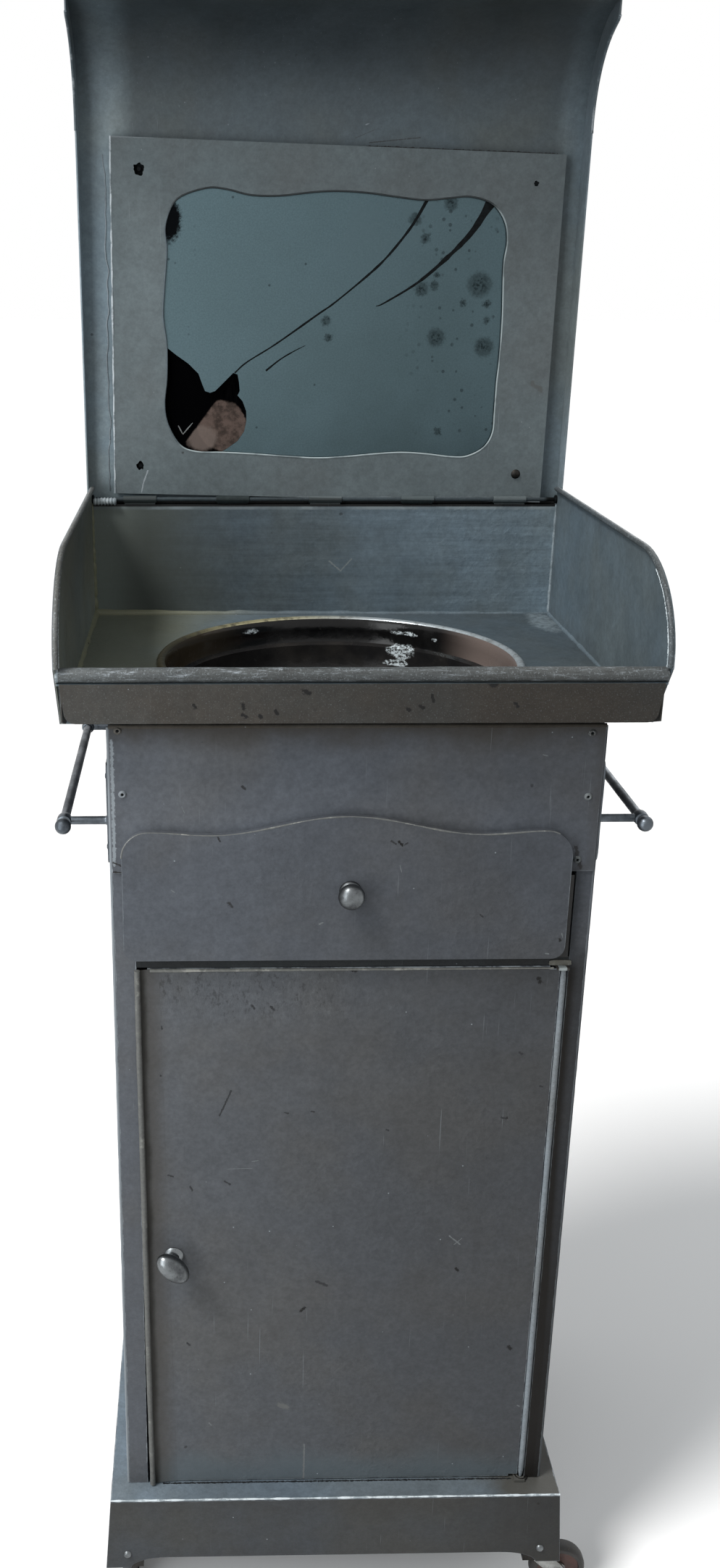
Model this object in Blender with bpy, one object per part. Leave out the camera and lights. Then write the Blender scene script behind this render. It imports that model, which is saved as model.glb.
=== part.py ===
"""Sheet-metal washstand on four swivel casters, with a hinged bonnet lid that carries a mirror.

Metres, +Z up. The front faces -Y. The origin is on the floor, below the middle of the outline.
The lid stands open at rest, the door and drawer are shut, and the basin sits in its tray.
"""
import math

import bmesh
import bpy
from mathutils import Matrix, Vector

# Stock and fits
SHEET = 0.0012
SEAT_GAP = 0.0003
RUNNING_GAP = 0.0004

# Sides of round pieces, steps of curves, and angles in degrees
SMALL_ROUND = 12
KNOB_ROUND = 16
WHEEL_ROUND = 24
BASIN_ROUND = 36
CORNER_STEPS = 6
DOME_STEPS = 3
ARCH_STEPS = 8
WING_STEPS = 14
ROLL_STEPS = 12
DRAWER_TOP_STEPS = 28
OPENING_STEPS = 10
FORK_EYE_ARC = (30, -150)
BASIN_RIM_ARC = (-90, 110)
SHARP_ANGLE = 35
MERGE_DISTANCE = 0.000001

# Basin
BASIN_BOWL_RADIUS = 0.1405
BASIN_RIM_WIDTH = 0.010
BASIN_RIM_ROLL = 0.0038
BASIN_FOOT_RADIUS = 0.045
BASIN_DEPTH = 0.098
BASIN_WALL = 0.0016
BASIN_HOLE_GAP = 0.0010

# Body: a box between the plinth and the tray, with room round the basin
BODY_SIDE_ROOM = 0.0379
BODY_FRONT_ROOM = 0.0021
BODY_BACK_ROOM = 0.0389
BODY_HEIGHT = 0.696
BASIN_UNDER_ROOM = 0.0165
DRAWER_OPENING = 0.0715
RAIL_HEIGHT = 0.007
STILE_LEFT = 0.0165
STILE_RIGHT = 0.0125
STILE_RETURN = 0.012

# Plinth
PLINTH_HEIGHT = 0.0747
LEDGE_FRONT = 0.0195
LEDGE_SIDE = 0.0155
PLINTH_FLARE = 0.0055
FOOT_WIDTH = 0.022
ARCH_RUN = 0.033
ARCH_RISE = 0.0115

# Casters
CASTER_INSET_END = 0.026
CASTER_TRAIL = 0.024
WHEEL_RADIUS = 0.025
WHEEL_WIDTH = 0.014
WHEEL_WEB = 0.006
WHEEL_RIM = 0.006
WHEEL_HUB_WALL = 0.0036
WHEEL_CHAMFER = 0.002
WHEEL_HEAD_GAP = 0.0042
AXLE_RADIUS = 0.003
FORK_SHEET = 0.0022
FORK_SIDE_GAP = 0.001
FORK_CROWN_MARGIN = 0.0033
FORK_EYE_WALL = 0.0038
STEM_RADIUS = 0.004
STEM_HEAD_MARGIN = 0.0022
STEM_HEAD_HEIGHT = 0.002
BRACKET_SHEET = 0.002
BRACKET_WIDTH = 0.028
BRACKET_SIDE_GAP = 0.0016
BRACKET_PAST_STEM = 0.018
BRACKET_PAST_BOLT = 0.0142
FOOT_BOLT_RISE = 0.0158
FOOT_BOLT_HEAD_MARGIN = 0.0018
FOOT_BOLT_RADIUS = 0.002
FOOT_BOLT_TAIL = 0.003
CASTER_TURNS = {"front_left": 90, "front_right": 0, "back_left": 20, "back_right": -90}

# Door
DOOR_DEPTH = 0.012
DOOR_SIDE_GAP = 0.0080
DOOR_TAPER = 0.0085
DOOR_GAP = 0.0012
DOOR_FACE_SETBACK = 0.0005
HINGE_PLATE = 0.002
HINGE_PLATE_HALF = 0.0065
HINGE_PLATE_REACH = 0.0055
HINGE_PIN_RADIUS = 0.0025
HINGE_PIN_SETBACK = 0.0015
DOOR_KNOB_RISE = 0.239
DOOR_KNOB_INSET = 0.0170
DOOR_KNOB_LONG = 0.0160
DOOR_KNOB_SHORT = 0.0098
DOOR_KNOB_DEEP = 0.0085
DOOR_KNOB_STAND = 0.0165
DOOR_KNOB_NECK = 0.0045
DOOR_KNOB_TURN = 45
SPINDLE_RADIUS = 0.0025
LATCH_SHEET = 0.002
LATCH_WIDTH = 0.007
LATCH_OVERLAP = 0.0035
LATCH_CLEARANCE = 0.0008

# Drawer
DRAWER_LAP_LEFT = 0.0089
DRAWER_SHY_RIGHT = 0.0062
DRAWER_LAP_TOP = 0.0325
DRAWER_FRONT_DEPTH = 0.007
DRAWER_HUMP_RISE = 0.0145
DRAWER_HUMP_HALF = 0.101
DRAWER_EAR_RISE = 0.0025
DRAWER_TOP_RADIUS = 0.020
DRAWER_FOOT_RADIUS = 0.010
DRAWER_SIDE_GAP = 0.0015
DRAWER_HEAD_GAP = 0.003
DRAWER_BACK_GAP = 0.018
DRAWER_KNOB_SHIFT = 0.0027
DRAWER_KNOB_RISE = 0.0595
DRAWER_KNOB_RADIUS = 0.0100
DRAWER_KNOB_NECK = 0.0052
DRAWER_KNOB_COLLAR = 0.0078
DRAWER_KNOB_LENGTH = 0.018
# Shares of the knob's length: end of the collar, both ends of the neck, both ends of the rim
DRAWER_KNOB_STEPS = (0.12, 0.24, 0.42, 0.62, 0.86)
DRAWER_KNOB_CROWN = 0.72

# Tray and wings
TRAY_OVERHANG = 0.035
TRAY_FRONT_SETBACK = 0.004
FASCIA_OVERHANG = 0.0275
FASCIA_HEIGHT = 0.0285
FASCIA_INSET = 0.0020
FASCIA_TAPER = 0.0028
FASCIA_CORNER = 0.008
LIP_RISE = 0.0497
LIP_RADIUS = 0.0062
WING_FLAT_END = 0.063
WING_NOSE = 0.030
WING_CURVE_DROP = 0.070
BACKSPLASH_HEIGHT = 0.1022

# Lid hinge
HINGE_ROD_RADIUS = 0.0018
KNUCKLE_BORE_GAP = 0.0003
KNUCKLE_WALL = 0.0011
KNUCKLE_LENGTH = 0.030
KNUCKLE_END = 0.0285
LEAF_END_GAP = 0.0010
LEAF_BITE = 0.0005
LEAF_GAP = 0.0010

# Lid
LID_SIDE_GAP = 0.0015
LID_REST_GAP = 0.0017
LID_ROLL_LEAD = 0.026
LID_NOSE_GAP = 0.020
LID_OVERLAP = 0.019
LID_CHEEK_FOOT = 0.017
LID_CHEEK = 0.027
LID_CHEEK_NOSE = 0.011
LID_FLANGE_GAP = 0.0008

# Mirror
FRAME_MARGIN_LEFT = 0.0268
FRAME_MARGIN_RIGHT = 0.0162
FRAME_HEAD_LEFT = 0.0033
FRAME_HEAD_RIGHT = 0.0160
FRAME_RISE_LEFT = 0.0052
FRAME_RISE_RIGHT = 0.0010
FRAME_HINGE_GAP = 0.0007
FRAME_FACE = 0.0025
BORDER_SIDE = 0.0455
BORDER_FOOT = 0.0320
BORDER_HEAD = 0.0297
OPENING_WAVE = 0.0035
OPENING_SIDE_WAVE = 0.0015
OPENING_CORNER = 0.027
GLASS_THICKNESS = 0.0026
BACKING_THICKNESS = 0.0028
GLASS_MARGIN = 0.009
GLASS_FIT = 0.0005
BREAK_RUN = 0.0822
BREAK_RISE = 0.115
# Jagged break across the glass's lower left corner, in shares of its run and rise
BREAK_POINTS = ((0, 1), (0.31, 0.81), (0.45, 0.71), (0.52, 0.57), (0.62, 0.57), (0.86, 0.71), (0.90, 0.58),
                (0.85, 0.54), (1, 0))
FRAME_SCREW_INSET = 0.0235
FRAME_SCREW_RADIUS = 0.0016
FRAME_SCREW_HEAD_MARGIN = 0.0020
FRAME_SCREW_DOME = 0.0016

# Towel rails
RAIL_REACH = 0.035
RAIL_RISE = 0.038
RAIL_FRONT_SETBACK = 0.0107
RAIL_SPAN = 0.231
RAIL_BAR_RADIUS = 0.003
RAIL_BALL_MARGIN = 0.003
RAIL_ARM_RADIUS = 0.0027
RAIL_EYE_WALL = 0.0023
RAIL_PLATE = 0.003
RAIL_PLATE_WIDTH = 0.020
RAIL_PLATE_ABOVE = 0.046
RAIL_PLATE_BELOW = 0.032

# Finishes: colour, roughness, metallic
FINISHES = {
    "grey_paint": ((0.135, 0.150, 0.158), 0.55, 0.1),
    "dark_paint": ((0.085, 0.088, 0.090), 0.55, 0.1),
    "bare_metal": ((0.42, 0.42, 0.41), 0.35, 0.9),
    "dark_metal": ((0.05, 0.05, 0.05), 0.5, 0.6),
    "enamel": ((0.020, 0.022, 0.024), 0.12, 0.0),
    "mirror": ((0.55, 0.62, 0.64), 0.08, 1.0),
    "board": ((0.03, 0.025, 0.02), 0.8, 0.0),
    "wheel": ((0.06, 0.035, 0.03), 0.6, 0.0),
}

# Places that follow from the sizes above
BASIN_RIM_RADIUS = BASIN_BOWL_RADIUS + BASIN_RIM_WIDTH
BASIN_SETBACK = TRAY_FRONT_SETBACK + BODY_FRONT_ROOM + BASIN_RIM_RADIUS
BODY_WIDTH = 2 * (BASIN_BOWL_RADIUS + BASIN_WALL + BODY_SIDE_ROOM)
BODY_DEPTH = BASIN_SETBACK + BASIN_RIM_RADIUS + BODY_BACK_ROOM
APRON_HEIGHT = BASIN_DEPTH + BASIN_UNDER_ROOM
TRAY_HALF = BODY_WIDTH / 2 + TRAY_OVERHANG
TRAY_INNER = TRAY_HALF - SHEET - SEAT_GAP
KNUCKLE_RADIUS = HINGE_ROD_RADIUS + KNUCKLE_BORE_GAP + KNUCKLE_WALL
KNUCKLE_PITCH = (TRAY_INNER - KNUCKLE_END - KNUCKLE_LENGTH / 2) / 2
LEAF_HALF = KNUCKLE_LENGTH / 2 - LEAF_END_GAP
LEAF_DROP = KNUCKLE_RADIUS - LEAF_BITE
HINGE_RISE = LEAF_DROP + SHEET + LEAF_GAP
FRAME_DEPTH = FRAME_FACE + GLASS_THICKNESS + BACKING_THICKNESS + 3 * SEAT_GAP
LID_OFFSET = KNUCKLE_RADIUS + FRAME_HINGE_GAP + FRAME_DEPTH + SEAT_GAP
DRAWER_KNOB_REACH = 3 * SEAT_GAP + SHEET + DRAWER_FRONT_DEPTH + DRAWER_KNOB_LENGTH
DOOR_KNOB_REACH = SEAT_GAP - DOOR_FACE_SETBACK + DOOR_KNOB_STAND + DOOR_KNOB_DEEP
REACH_FRONT = max(WING_NOSE, FASCIA_OVERHANG, LEDGE_FRONT, DRAWER_KNOB_REACH, DOOR_KNOB_REACH)
REACH_BACK = BODY_DEPTH - SHEET / 2 + LID_OFFSET + SHEET
FRONT = -(REACH_BACK - REACH_FRONT) / 2
BACK = FRONT + BODY_DEPTH
CASTER_HEIGHT = 2 * WHEEL_RADIUS + WHEEL_HEAD_GAP + FORK_SHEET + SEAT_GAP
LEDGE_Z = CASTER_HEIGHT + PLINTH_HEIGHT + SEAT_GAP + SHEET
BODY_FOOT = LEDGE_Z + SEAT_GAP
BODY_TOP = BODY_FOOT + BODY_HEIGHT
APRON_FOOT = BODY_TOP - APRON_HEIGHT
DECK_Z = APRON_FOOT - DRAWER_OPENING
RAIL_FOOT = DECK_Z - RAIL_HEIGHT
TRAY_UNDER = BODY_TOP + SEAT_GAP
TRAY_Z = TRAY_UNDER + SHEET
TRAY_FRONT = FRONT + TRAY_FRONT_SETBACK
FASCIA_Y = FRONT - FASCIA_OVERHANG
LIP_SEAT = TRAY_Z + LIP_RISE - 2 * LIP_RADIUS - SEAT_GAP
OPEN_LEFT = -BODY_WIDTH / 2 + STILE_LEFT
OPEN_RIGHT = BODY_WIDTH / 2 - STILE_RIGHT
APRON_FACE = FRONT - SEAT_GAP - SHEET
DRAWER_BACK_FACE = APRON_FACE - SEAT_GAP
DRAWER_FACE = DRAWER_BACK_FACE - DRAWER_FRONT_DEPTH
DRAWER_LEFT = OPEN_LEFT - DRAWER_LAP_LEFT
DRAWER_RIGHT = OPEN_RIGHT - DRAWER_SHY_RIGHT
DRAWER_MIDDLE = (DRAWER_LEFT + DRAWER_RIGHT) / 2
BACKSPLASH_TOP = TRAY_Z + SEAT_GAP + BACKSPLASH_HEIGHT
HINGE_Y = BACK - SHEET / 2
HINGE_Z = BACKSPLASH_TOP + HINGE_RISE
WING_TOP = HINGE_Z + LID_OFFSET - LID_REST_GAP
LID_Y = HINGE_Y + LID_OFFSET
LID_INNER = TRAY_HALF + LID_SIDE_GAP
LID_HALF = LID_INNER + SHEET
LEAF_TOP = HINGE_Z - LEAF_DROP
LID_FLANGE_TOP = LEAF_TOP + SEAT_GAP + SHEET
LID_FLAT_TOP = HINGE_Z + (HINGE_Y - FRONT - WING_FLAT_END) + LID_ROLL_LEAD
LID_ROLL_RUN = WING_FLAT_END + WING_NOSE + LID_NOSE_GAP - LID_ROLL_LEAD
LID_ROLL_DROP = WING_CURVE_DROP + LID_OVERLAP
FRAME_BACK = LID_Y - SEAT_GAP
FRAME_FRONT = FRAME_BACK - FRAME_DEPTH
FRAME_LEFT = -LID_INNER + FRAME_MARGIN_LEFT
FRAME_RIGHT = LID_INNER - FRAME_MARGIN_RIGHT
OPENING_LEFT = FRAME_LEFT + BORDER_SIDE
OPENING_RIGHT = FRAME_RIGHT - BORDER_SIDE
OPENING_FOOT = HINGE_Z + FRAME_RISE_LEFT + BORDER_FOOT
OPENING_TOP = LID_FLAT_TOP - FRAME_HEAD_RIGHT - BORDER_HEAD
DOOR_PIN_X = OPEN_RIGHT - HINGE_PIN_RADIUS - RUNNING_GAP
DOOR_PIN_Y = FRONT + HINGE_PIN_SETBACK
DOOR_FOOT = LEDGE_Z + DOOR_GAP
DOOR_TOP = RAIL_FOOT - DOOR_GAP
DOOR_LEFT = OPEN_LEFT + DOOR_SIDE_GAP
DOOR_RIGHT = DOOR_PIN_X - HINGE_PIN_RADIUS - SEAT_GAP
DOOR_NOTCH = DOOR_PIN_X - math.hypot(HINGE_PLATE_HALF, HINGE_PLATE_REACH + HINGE_PIN_SETBACK) - DOOR_GAP
DOOR_FACE = FRONT + DOOR_FACE_SETBACK
DOOR_BACK = DOOR_FACE + DOOR_DEPTH
KNOB_X = DOOR_LEFT + DOOR_KNOB_INSET
KNOB_Z = LEDGE_Z + DOOR_KNOB_RISE
LATCH_Y = max(DOOR_BACK, FRONT + STILE_RETURN) + LATCH_CLEARANCE
BRACKET_FLANGE = FOOT_BOLT_RISE + BRACKET_PAST_BOLT
PLINTH_HALF = BODY_WIDTH / 2 + LEDGE_SIDE
FLANGE_HALF = PLINTH_HALF + PLINTH_FLARE * (1 - BRACKET_FLANGE / PLINTH_HEIGHT) - SHEET
CASTER_X = FLANGE_HALF - BRACKET_SIDE_GAP - BRACKET_WIDTH / 2
CASTER_FRONT_Y = FRONT - LEDGE_FRONT + CASTER_INSET_END
CASTER_BACK_Y = BACK - CASTER_INSET_END
BASIN_Y = FRONT + BASIN_SETBACK
RAIL_X = BODY_WIDTH / 2 + RAIL_REACH
RAIL_Z = APRON_FOOT + RAIL_RISE
RAIL_EYE_RADIUS = RAIL_BAR_RADIUS + SEAT_GAP + RAIL_EYE_WALL
RAIL_BALL_RADIUS = RAIL_BAR_RADIUS + RAIL_BALL_MARGIN
RAIL_END = RAIL_EYE_RADIUS + RAIL_BALL_RADIUS + 2 * SEAT_GAP


def start_empty():
    """Clear the scene."""
    for item in list(bpy.data.objects):
        bpy.data.objects.remove(item)


def finish_material(name, finish):
    """Give one sub-part its own material."""
    colour, roughness, metallic = FINISHES[finish]
    material = bpy.data.materials.new(name)
    material.use_nodes = True
    shader = material.node_tree.nodes["Principled BSDF"]
    shader.inputs["Base Color"].default_value = (*colour, 1.0)
    shader.inputs["Roughness"].default_value = roughness
    shader.inputs["Metallic"].default_value = metallic
    return material


def add_object(name, shape):
    """Turn a bmesh into a linked object with outward faces."""
    bmesh.ops.recalc_face_normals(shape, faces=shape.faces)
    mesh = bpy.data.meshes.new(name)
    shape.to_mesh(mesh)
    shape.free()
    item = bpy.data.objects.new(name, mesh)
    bpy.context.collection.objects.link(item)
    return item


def dress(item, finish, smooth=False):
    """Set a sub-part's finish and shading."""
    item.data.materials.clear()
    item.data.materials.append(finish_material(item.name, finish))
    if smooth:
        item.data.shade_smooth()
        item.data.set_sharp_from_angle(angle=math.radians(SHARP_ANGLE))
    return item


def place(axis, along, first, second):
    """Point at a distance along an axis, with the two other coordinates in X, Y, Z order."""
    if axis == "X":
        return Vector((along, first, second))
    if axis == "Y":
        return Vector((first, along, second))
    return Vector((first, second, along))


def prism(name, outline, axis, low, high):
    """Closed outline pushed along an axis from low to high."""
    shape = bmesh.new()
    corners = [shape.verts.new(place(axis, low, *point)) for point in outline]
    face = shape.faces.new(corners)
    pushed = bmesh.ops.extrude_face_region(shape, geom=[face])
    moved = [part for part in pushed["geom"] if isinstance(part, bmesh.types.BMVert)]
    bmesh.ops.translate(shape, verts=moved, vec=place(axis, high - low, 0, 0))
    return add_object(name, shape)


def ribbon(name, near, far, axis, low, high):
    """Strip between two matching lines of points, pushed along an axis from low to high."""
    shape = bmesh.new()
    near_verts = [shape.verts.new(place(axis, low, *point)) for point in near]
    far_verts = [shape.verts.new(place(axis, low, *point)) for point in far]
    faces = []
    for index in range(len(near) - 1):
        corners = (near_verts[index], near_verts[index + 1], far_verts[index + 1], far_verts[index])
        faces.append(shape.faces.new(corners))
    pushed = bmesh.ops.extrude_face_region(shape, geom=faces)
    moved = [part for part in pushed["geom"] if isinstance(part, bmesh.types.BMVert)]
    bmesh.ops.translate(shape, verts=moved, vec=place(axis, high - low, 0, 0))
    return add_object(name, shape)


def rectangle(left, low, right, high):
    """Corners of an upright rectangle."""
    return [(left, low), (right, low), (right, high), (left, high)]


def block(name, low, high):
    """Box between two opposite corners."""
    return prism(name, rectangle(low[0], low[1], high[0], high[1]), "Z", low[2], high[2])


def turned(name, profile, axis, centre, sides=SMALL_ROUND, ring=False):
    """Profile of (radius, height) points spun about an axis; a ring's profile closes on itself."""
    shape = bmesh.new()
    verts = [shape.verts.new((radius, 0, height)) for radius, height in profile]
    edges = [shape.edges.new(pair) for pair in zip(verts, verts[1:])]
    if ring:
        edges.append(shape.edges.new((verts[-1], verts[0])))
    bmesh.ops.spin(shape, geom=verts + edges, cent=(0, 0, 0), axis=(0, 0, 1),
                   angle=math.tau, steps=sides, use_merge=True)
    bmesh.ops.remove_doubles(shape, verts=shape.verts, dist=MERGE_DISTANCE)
    turn = {"X": Matrix.Rotation(math.pi / 2, 4, "Y"), "Y": Matrix.Rotation(-math.pi / 2, 4, "X"),
            "Z": Matrix.Identity(4)}[axis]
    bmesh.ops.transform(shape, matrix=Matrix.Translation(centre) @ turn, verts=shape.verts)
    return add_object(name, shape)


def rod(name, axis, centre, radius, low, high, sides=SMALL_ROUND):
    """Round bar along an axis, from low to high measured from its centre point."""
    return turned(name, [(0, low), (radius, low), (radius, high), (0, high)], axis, centre, sides)


def ball(name, centre, radii, sides=SMALL_ROUND, turn=0.0):
    """Ball or egg shape, turned about the Y axis."""
    shape = bmesh.new()
    bmesh.ops.create_uvsphere(shape, u_segments=sides, v_segments=sides // 2, radius=1)
    stretch = Matrix.Diagonal((*radii, 1))
    matrix = Matrix.Translation(centre) @ Matrix.Rotation(turn, 4, "Y") @ stretch
    bmesh.ops.transform(shape, matrix=matrix, verts=shape.verts)
    return add_object(name, shape)


def boolean(base, operands, operation):
    """Join or cut a piece with others, which are used up."""
    for operand in operands:
        modifier = base.modifiers.new(operation, "BOOLEAN")
        modifier.operation = operation
        modifier.object = operand
        depsgraph = bpy.context.evaluated_depsgraph_get()
        base.data = bpy.data.meshes.new_from_object(base.evaluated_get(depsgraph))
        base.modifiers.clear()
        bpy.data.objects.remove(operand)
    return base


def join(base, *operands):
    """Fuse pieces into one solid."""
    return boolean(base, operands, "UNION")


def cut(base, *operands):
    """Take pieces away from a solid."""
    return boolean(base, operands, "DIFFERENCE")


def arc(centre, radii, start, end, steps):
    """Points on an ellipse between two angles in degrees, both ends included."""
    points = []
    for step in range(steps + 1):
        angle = math.radians(start + (end - start) * step / steps)
        points.append((centre[0] + radii[0] * math.cos(angle), centre[1] + radii[1] * math.sin(angle)))
    return points


def folded(path, thickness):
    """Far side of a sheet that follows a path, with its thickness on the right of the path."""
    far_side = []
    for index, point in enumerate(path):
        normals = []
        for start, end in ((index - 1, index), (index, index + 1)):
            if start >= 0 and end < len(path):
                run = Vector(path[end]) - Vector(path[start])
                normals.append(Vector((run.y, -run.x)).normalized())
        middle = sum(normals, Vector((0, 0))).normalized()
        reach = thickness / middle.dot(normals[0])
        far_side.append(tuple(Vector(point) + middle * reach))
    return far_side


def hang(name, location, items):
    """Put moving pieces under an empty that stands on their joint's axis."""
    empty = bpy.data.objects.new(name, None)
    empty.location = location
    bpy.context.collection.objects.link(empty)
    for item in items:
        item.parent = empty
        item.matrix_parent_inverse = Matrix.Translation(location).inverted()
    return empty


def plinth():
    """Skirt with arched lower edges, under a plate whose rim is the ledge."""
    half_top = PLINTH_HALF
    half_foot = PLINTH_HALF + PLINTH_FLARE
    front = FRONT - LEDGE_FRONT
    top = CASTER_HEIGHT + PLINTH_HEIGHT
    outside = [(-half_foot, CASTER_HEIGHT), (half_foot, CASTER_HEIGHT), (half_top, top), (-half_top, top)]
    skirt = prism("plinth_skirt", outside, "Y", front, BACK)
    over = SHEET * PLINTH_FLARE / PLINTH_HEIGHT
    inner_foot = half_foot - SHEET + over
    inner_top = half_top - SHEET - over
    inside = [(-inner_foot, CASTER_HEIGHT - SHEET), (inner_foot, CASTER_HEIGHT - SHEET),
              (inner_top, top + SHEET), (-inner_top, top + SHEET)]
    hollow = prism("hollow", inside, "Y", front + SHEET, BACK - SHEET)
    front_arch = prism("front_arch", arch(-half_foot, half_foot), "Y", front - SHEET, BACK + SHEET)
    side_arch = prism("side_arch", arch(front, BACK), "X", -half_foot - SHEET, half_foot + SHEET)
    bolt_holes = []
    for sign in (-1, 1):
        hole = rod("hole", "Y", (sign * CASTER_X, front, CASTER_HEIGHT + FOOT_BOLT_RISE),
                   FOOT_BOLT_RADIUS + SEAT_GAP, -SHEET, 2 * SHEET)
        bolt_holes.append(hole)
    cut(skirt, hollow, front_arch, side_arch, *bolt_holes)
    dress(skirt, "dark_paint")
    plate = block("base_plate", (-half_top, front, LEDGE_Z - SHEET), (half_top, BACK, LEDGE_Z))
    dress(plate, "grey_paint")


def arch(low, high):
    """Outline of the gap between two feet: flat over the middle, curving down at both ends."""
    left = low + FOOT_WIDTH + ARCH_RUN
    right = high - FOOT_WIDTH - ARCH_RUN
    radii = (ARCH_RUN, ARCH_RISE)
    under = CASTER_HEIGHT - SHEET
    curve = arc((left, CASTER_HEIGHT), radii, 180, 90, ARCH_STEPS)
    curve += arc((right, CASTER_HEIGHT), radii, 90, 0, ARCH_STEPS)
    return [(low + FOOT_WIDTH, under)] + curve + [(high - FOOT_WIDTH, under)]


def caster_bracket(name, side, inward):
    """Angle plate in a plinth corner: its floor carries the caster, its flange meets the skirt."""
    front_end = inward > 0
    x = side * CASTER_X
    stem_y = CASTER_FRONT_Y if front_end else CASTER_BACK_Y
    wall = FRONT - LEDGE_FRONT + SHEET + SEAT_GAP if front_end else BACK - SHEET - SEAT_GAP
    floor = CASTER_HEIGHT
    end = stem_y + inward * BRACKET_PAST_STEM
    path = [(wall, floor + BRACKET_FLANGE), (wall, floor), (end, floor)]
    if front_end:
        path.reverse()
    half = BRACKET_WIDTH / 2
    bracket = ribbon(name, path, folded(path, BRACKET_SHEET), "X", x - half, x + half)
    stem_hole = rod("hole", "Z", (x, stem_y, floor), STEM_RADIUS + RUNNING_GAP, -BRACKET_SHEET,
                    2 * BRACKET_SHEET)
    holes = [stem_hole]
    if front_end:
        bolt_hole = rod("hole", "Y", (x, wall, floor + FOOT_BOLT_RISE), FOOT_BOLT_RADIUS + SEAT_GAP,
                        -BRACKET_SHEET, 2 * BRACKET_SHEET)
        holes.append(bolt_hole)
    cut(bracket, *holes)
    dress(bracket, "dark_metal")


def foot_bolt(name, side):
    """Dome-headed bolt through the skirt and a front bracket's flange."""
    face = FRONT - LEDGE_FRONT - SEAT_GAP
    tail = 2 * SEAT_GAP + SHEET + BRACKET_SHEET + FOOT_BOLT_TAIL
    head = FOOT_BOLT_RADIUS + FOOT_BOLT_HEAD_MARGIN
    dome = arc((0, 0), (head, head), -90, 0, DOME_STEPS)
    profile = [(0, -head)] + dome[1:] + [(FOOT_BOLT_RADIUS, 0), (FOOT_BOLT_RADIUS, tail), (0, tail)]
    bolt = turned(name, profile, "Y", (side * CASTER_X, face, CASTER_HEIGHT + FOOT_BOLT_RISE))
    dress(bolt, "bare_metal", smooth=True)


def caster_fork(name):
    """Crown, two cheeks, axle and stem of one caster, with the stem on the local Z axis."""
    crown_top = CASTER_HEIGHT - SEAT_GAP
    crown_foot = crown_top - FORK_SHEET
    inner = WHEEL_WIDTH / 2 + FORK_SIDE_GAP
    outer = inner + FORK_SHEET
    crown = outer + FORK_CROWN_MARGIN
    stem_top = CASTER_HEIGHT + BRACKET_SHEET + SEAT_GAP
    head = STEM_RADIUS + STEM_HEAD_MARGIN
    stem = [(0, crown_foot), (crown, crown_foot), (crown, crown_top), (STEM_RADIUS, crown_top),
            (STEM_RADIUS, stem_top), (head, stem_top), (head, stem_top + STEM_HEAD_HEIGHT),
            (0, stem_top + STEM_HEAD_HEIGHT)]
    fork = turned(name, stem, "Z", (0, 0, 0), KNOB_ROUND)
    heel = math.sqrt(crown ** 2 - outer ** 2)
    cheek_top = (crown_foot + crown_top) / 2
    eye_radius = AXLE_RADIUS + FORK_EYE_WALL
    eye = arc((CASTER_TRAIL, WHEEL_RADIUS), (eye_radius, eye_radius), *FORK_EYE_ARC, CORNER_STEPS)
    outline = [(-heel, cheek_top), (heel, cheek_top)] + eye + [(-heel, crown_foot - eye_radius)]
    cheeks = [prism("cheek", outline, "Y", inner, outer), prism("cheek", outline, "Y", -outer, -inner)]
    axle = rod("axle", "Y", (CASTER_TRAIL, 0, WHEEL_RADIUS), AXLE_RADIUS, -outer - FORK_SHEET / 2,
               outer + FORK_SHEET / 2)
    join(fork, *cheeks, axle)
    return dress(fork, "bare_metal", smooth=True)


def caster_wheel(name):
    """Wheel with a raised rim and hub, on the caster's trail, axle along local Y."""
    half = WHEEL_WIDTH / 2
    web = WHEEL_WEB / 2
    rim = WHEEL_RADIUS - WHEEL_RIM
    bore = AXLE_RADIUS + RUNNING_GAP
    hub = bore + WHEEL_HUB_WALL
    one_side = [(bore, half), (hub, half), (hub, web), (rim, web), (rim, half),
                (WHEEL_RADIUS - WHEEL_CHAMFER, half), (WHEEL_RADIUS, half - WHEEL_CHAMFER)]
    profile = one_side + [(radius, -height) for radius, height in reversed(one_side)]
    wheel = turned(name, profile, "Y", (CASTER_TRAIL, 0, WHEEL_RADIUS), WHEEL_ROUND, ring=True)
    return dress(wheel, "wheel", smooth=True)


def casters():
    """Four casters, each turned its own way about its stem."""
    for corner, turn in CASTER_TURNS.items():
        end, side = corner.split("_")
        sign = 1 if side == "right" else -1
        inward = 1 if end == "front" else -1
        y = CASTER_FRONT_Y if end == "front" else CASTER_BACK_Y
        caster_bracket("caster_bracket_" + corner, sign, inward)
        if end == "front":
            foot_bolt("foot_bolt_" + side, sign)
        swivel = bpy.data.objects.new("caster_swivel_" + corner, None)
        swivel.location = (sign * CASTER_X, y, 0)
        swivel.rotation_euler.z = math.radians(turn)
        bpy.context.collection.objects.link(swivel)
        for item in (caster_fork("caster_fork_" + corner), caster_wheel("caster_wheel_" + corner)):
            item.parent = swivel


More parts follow.
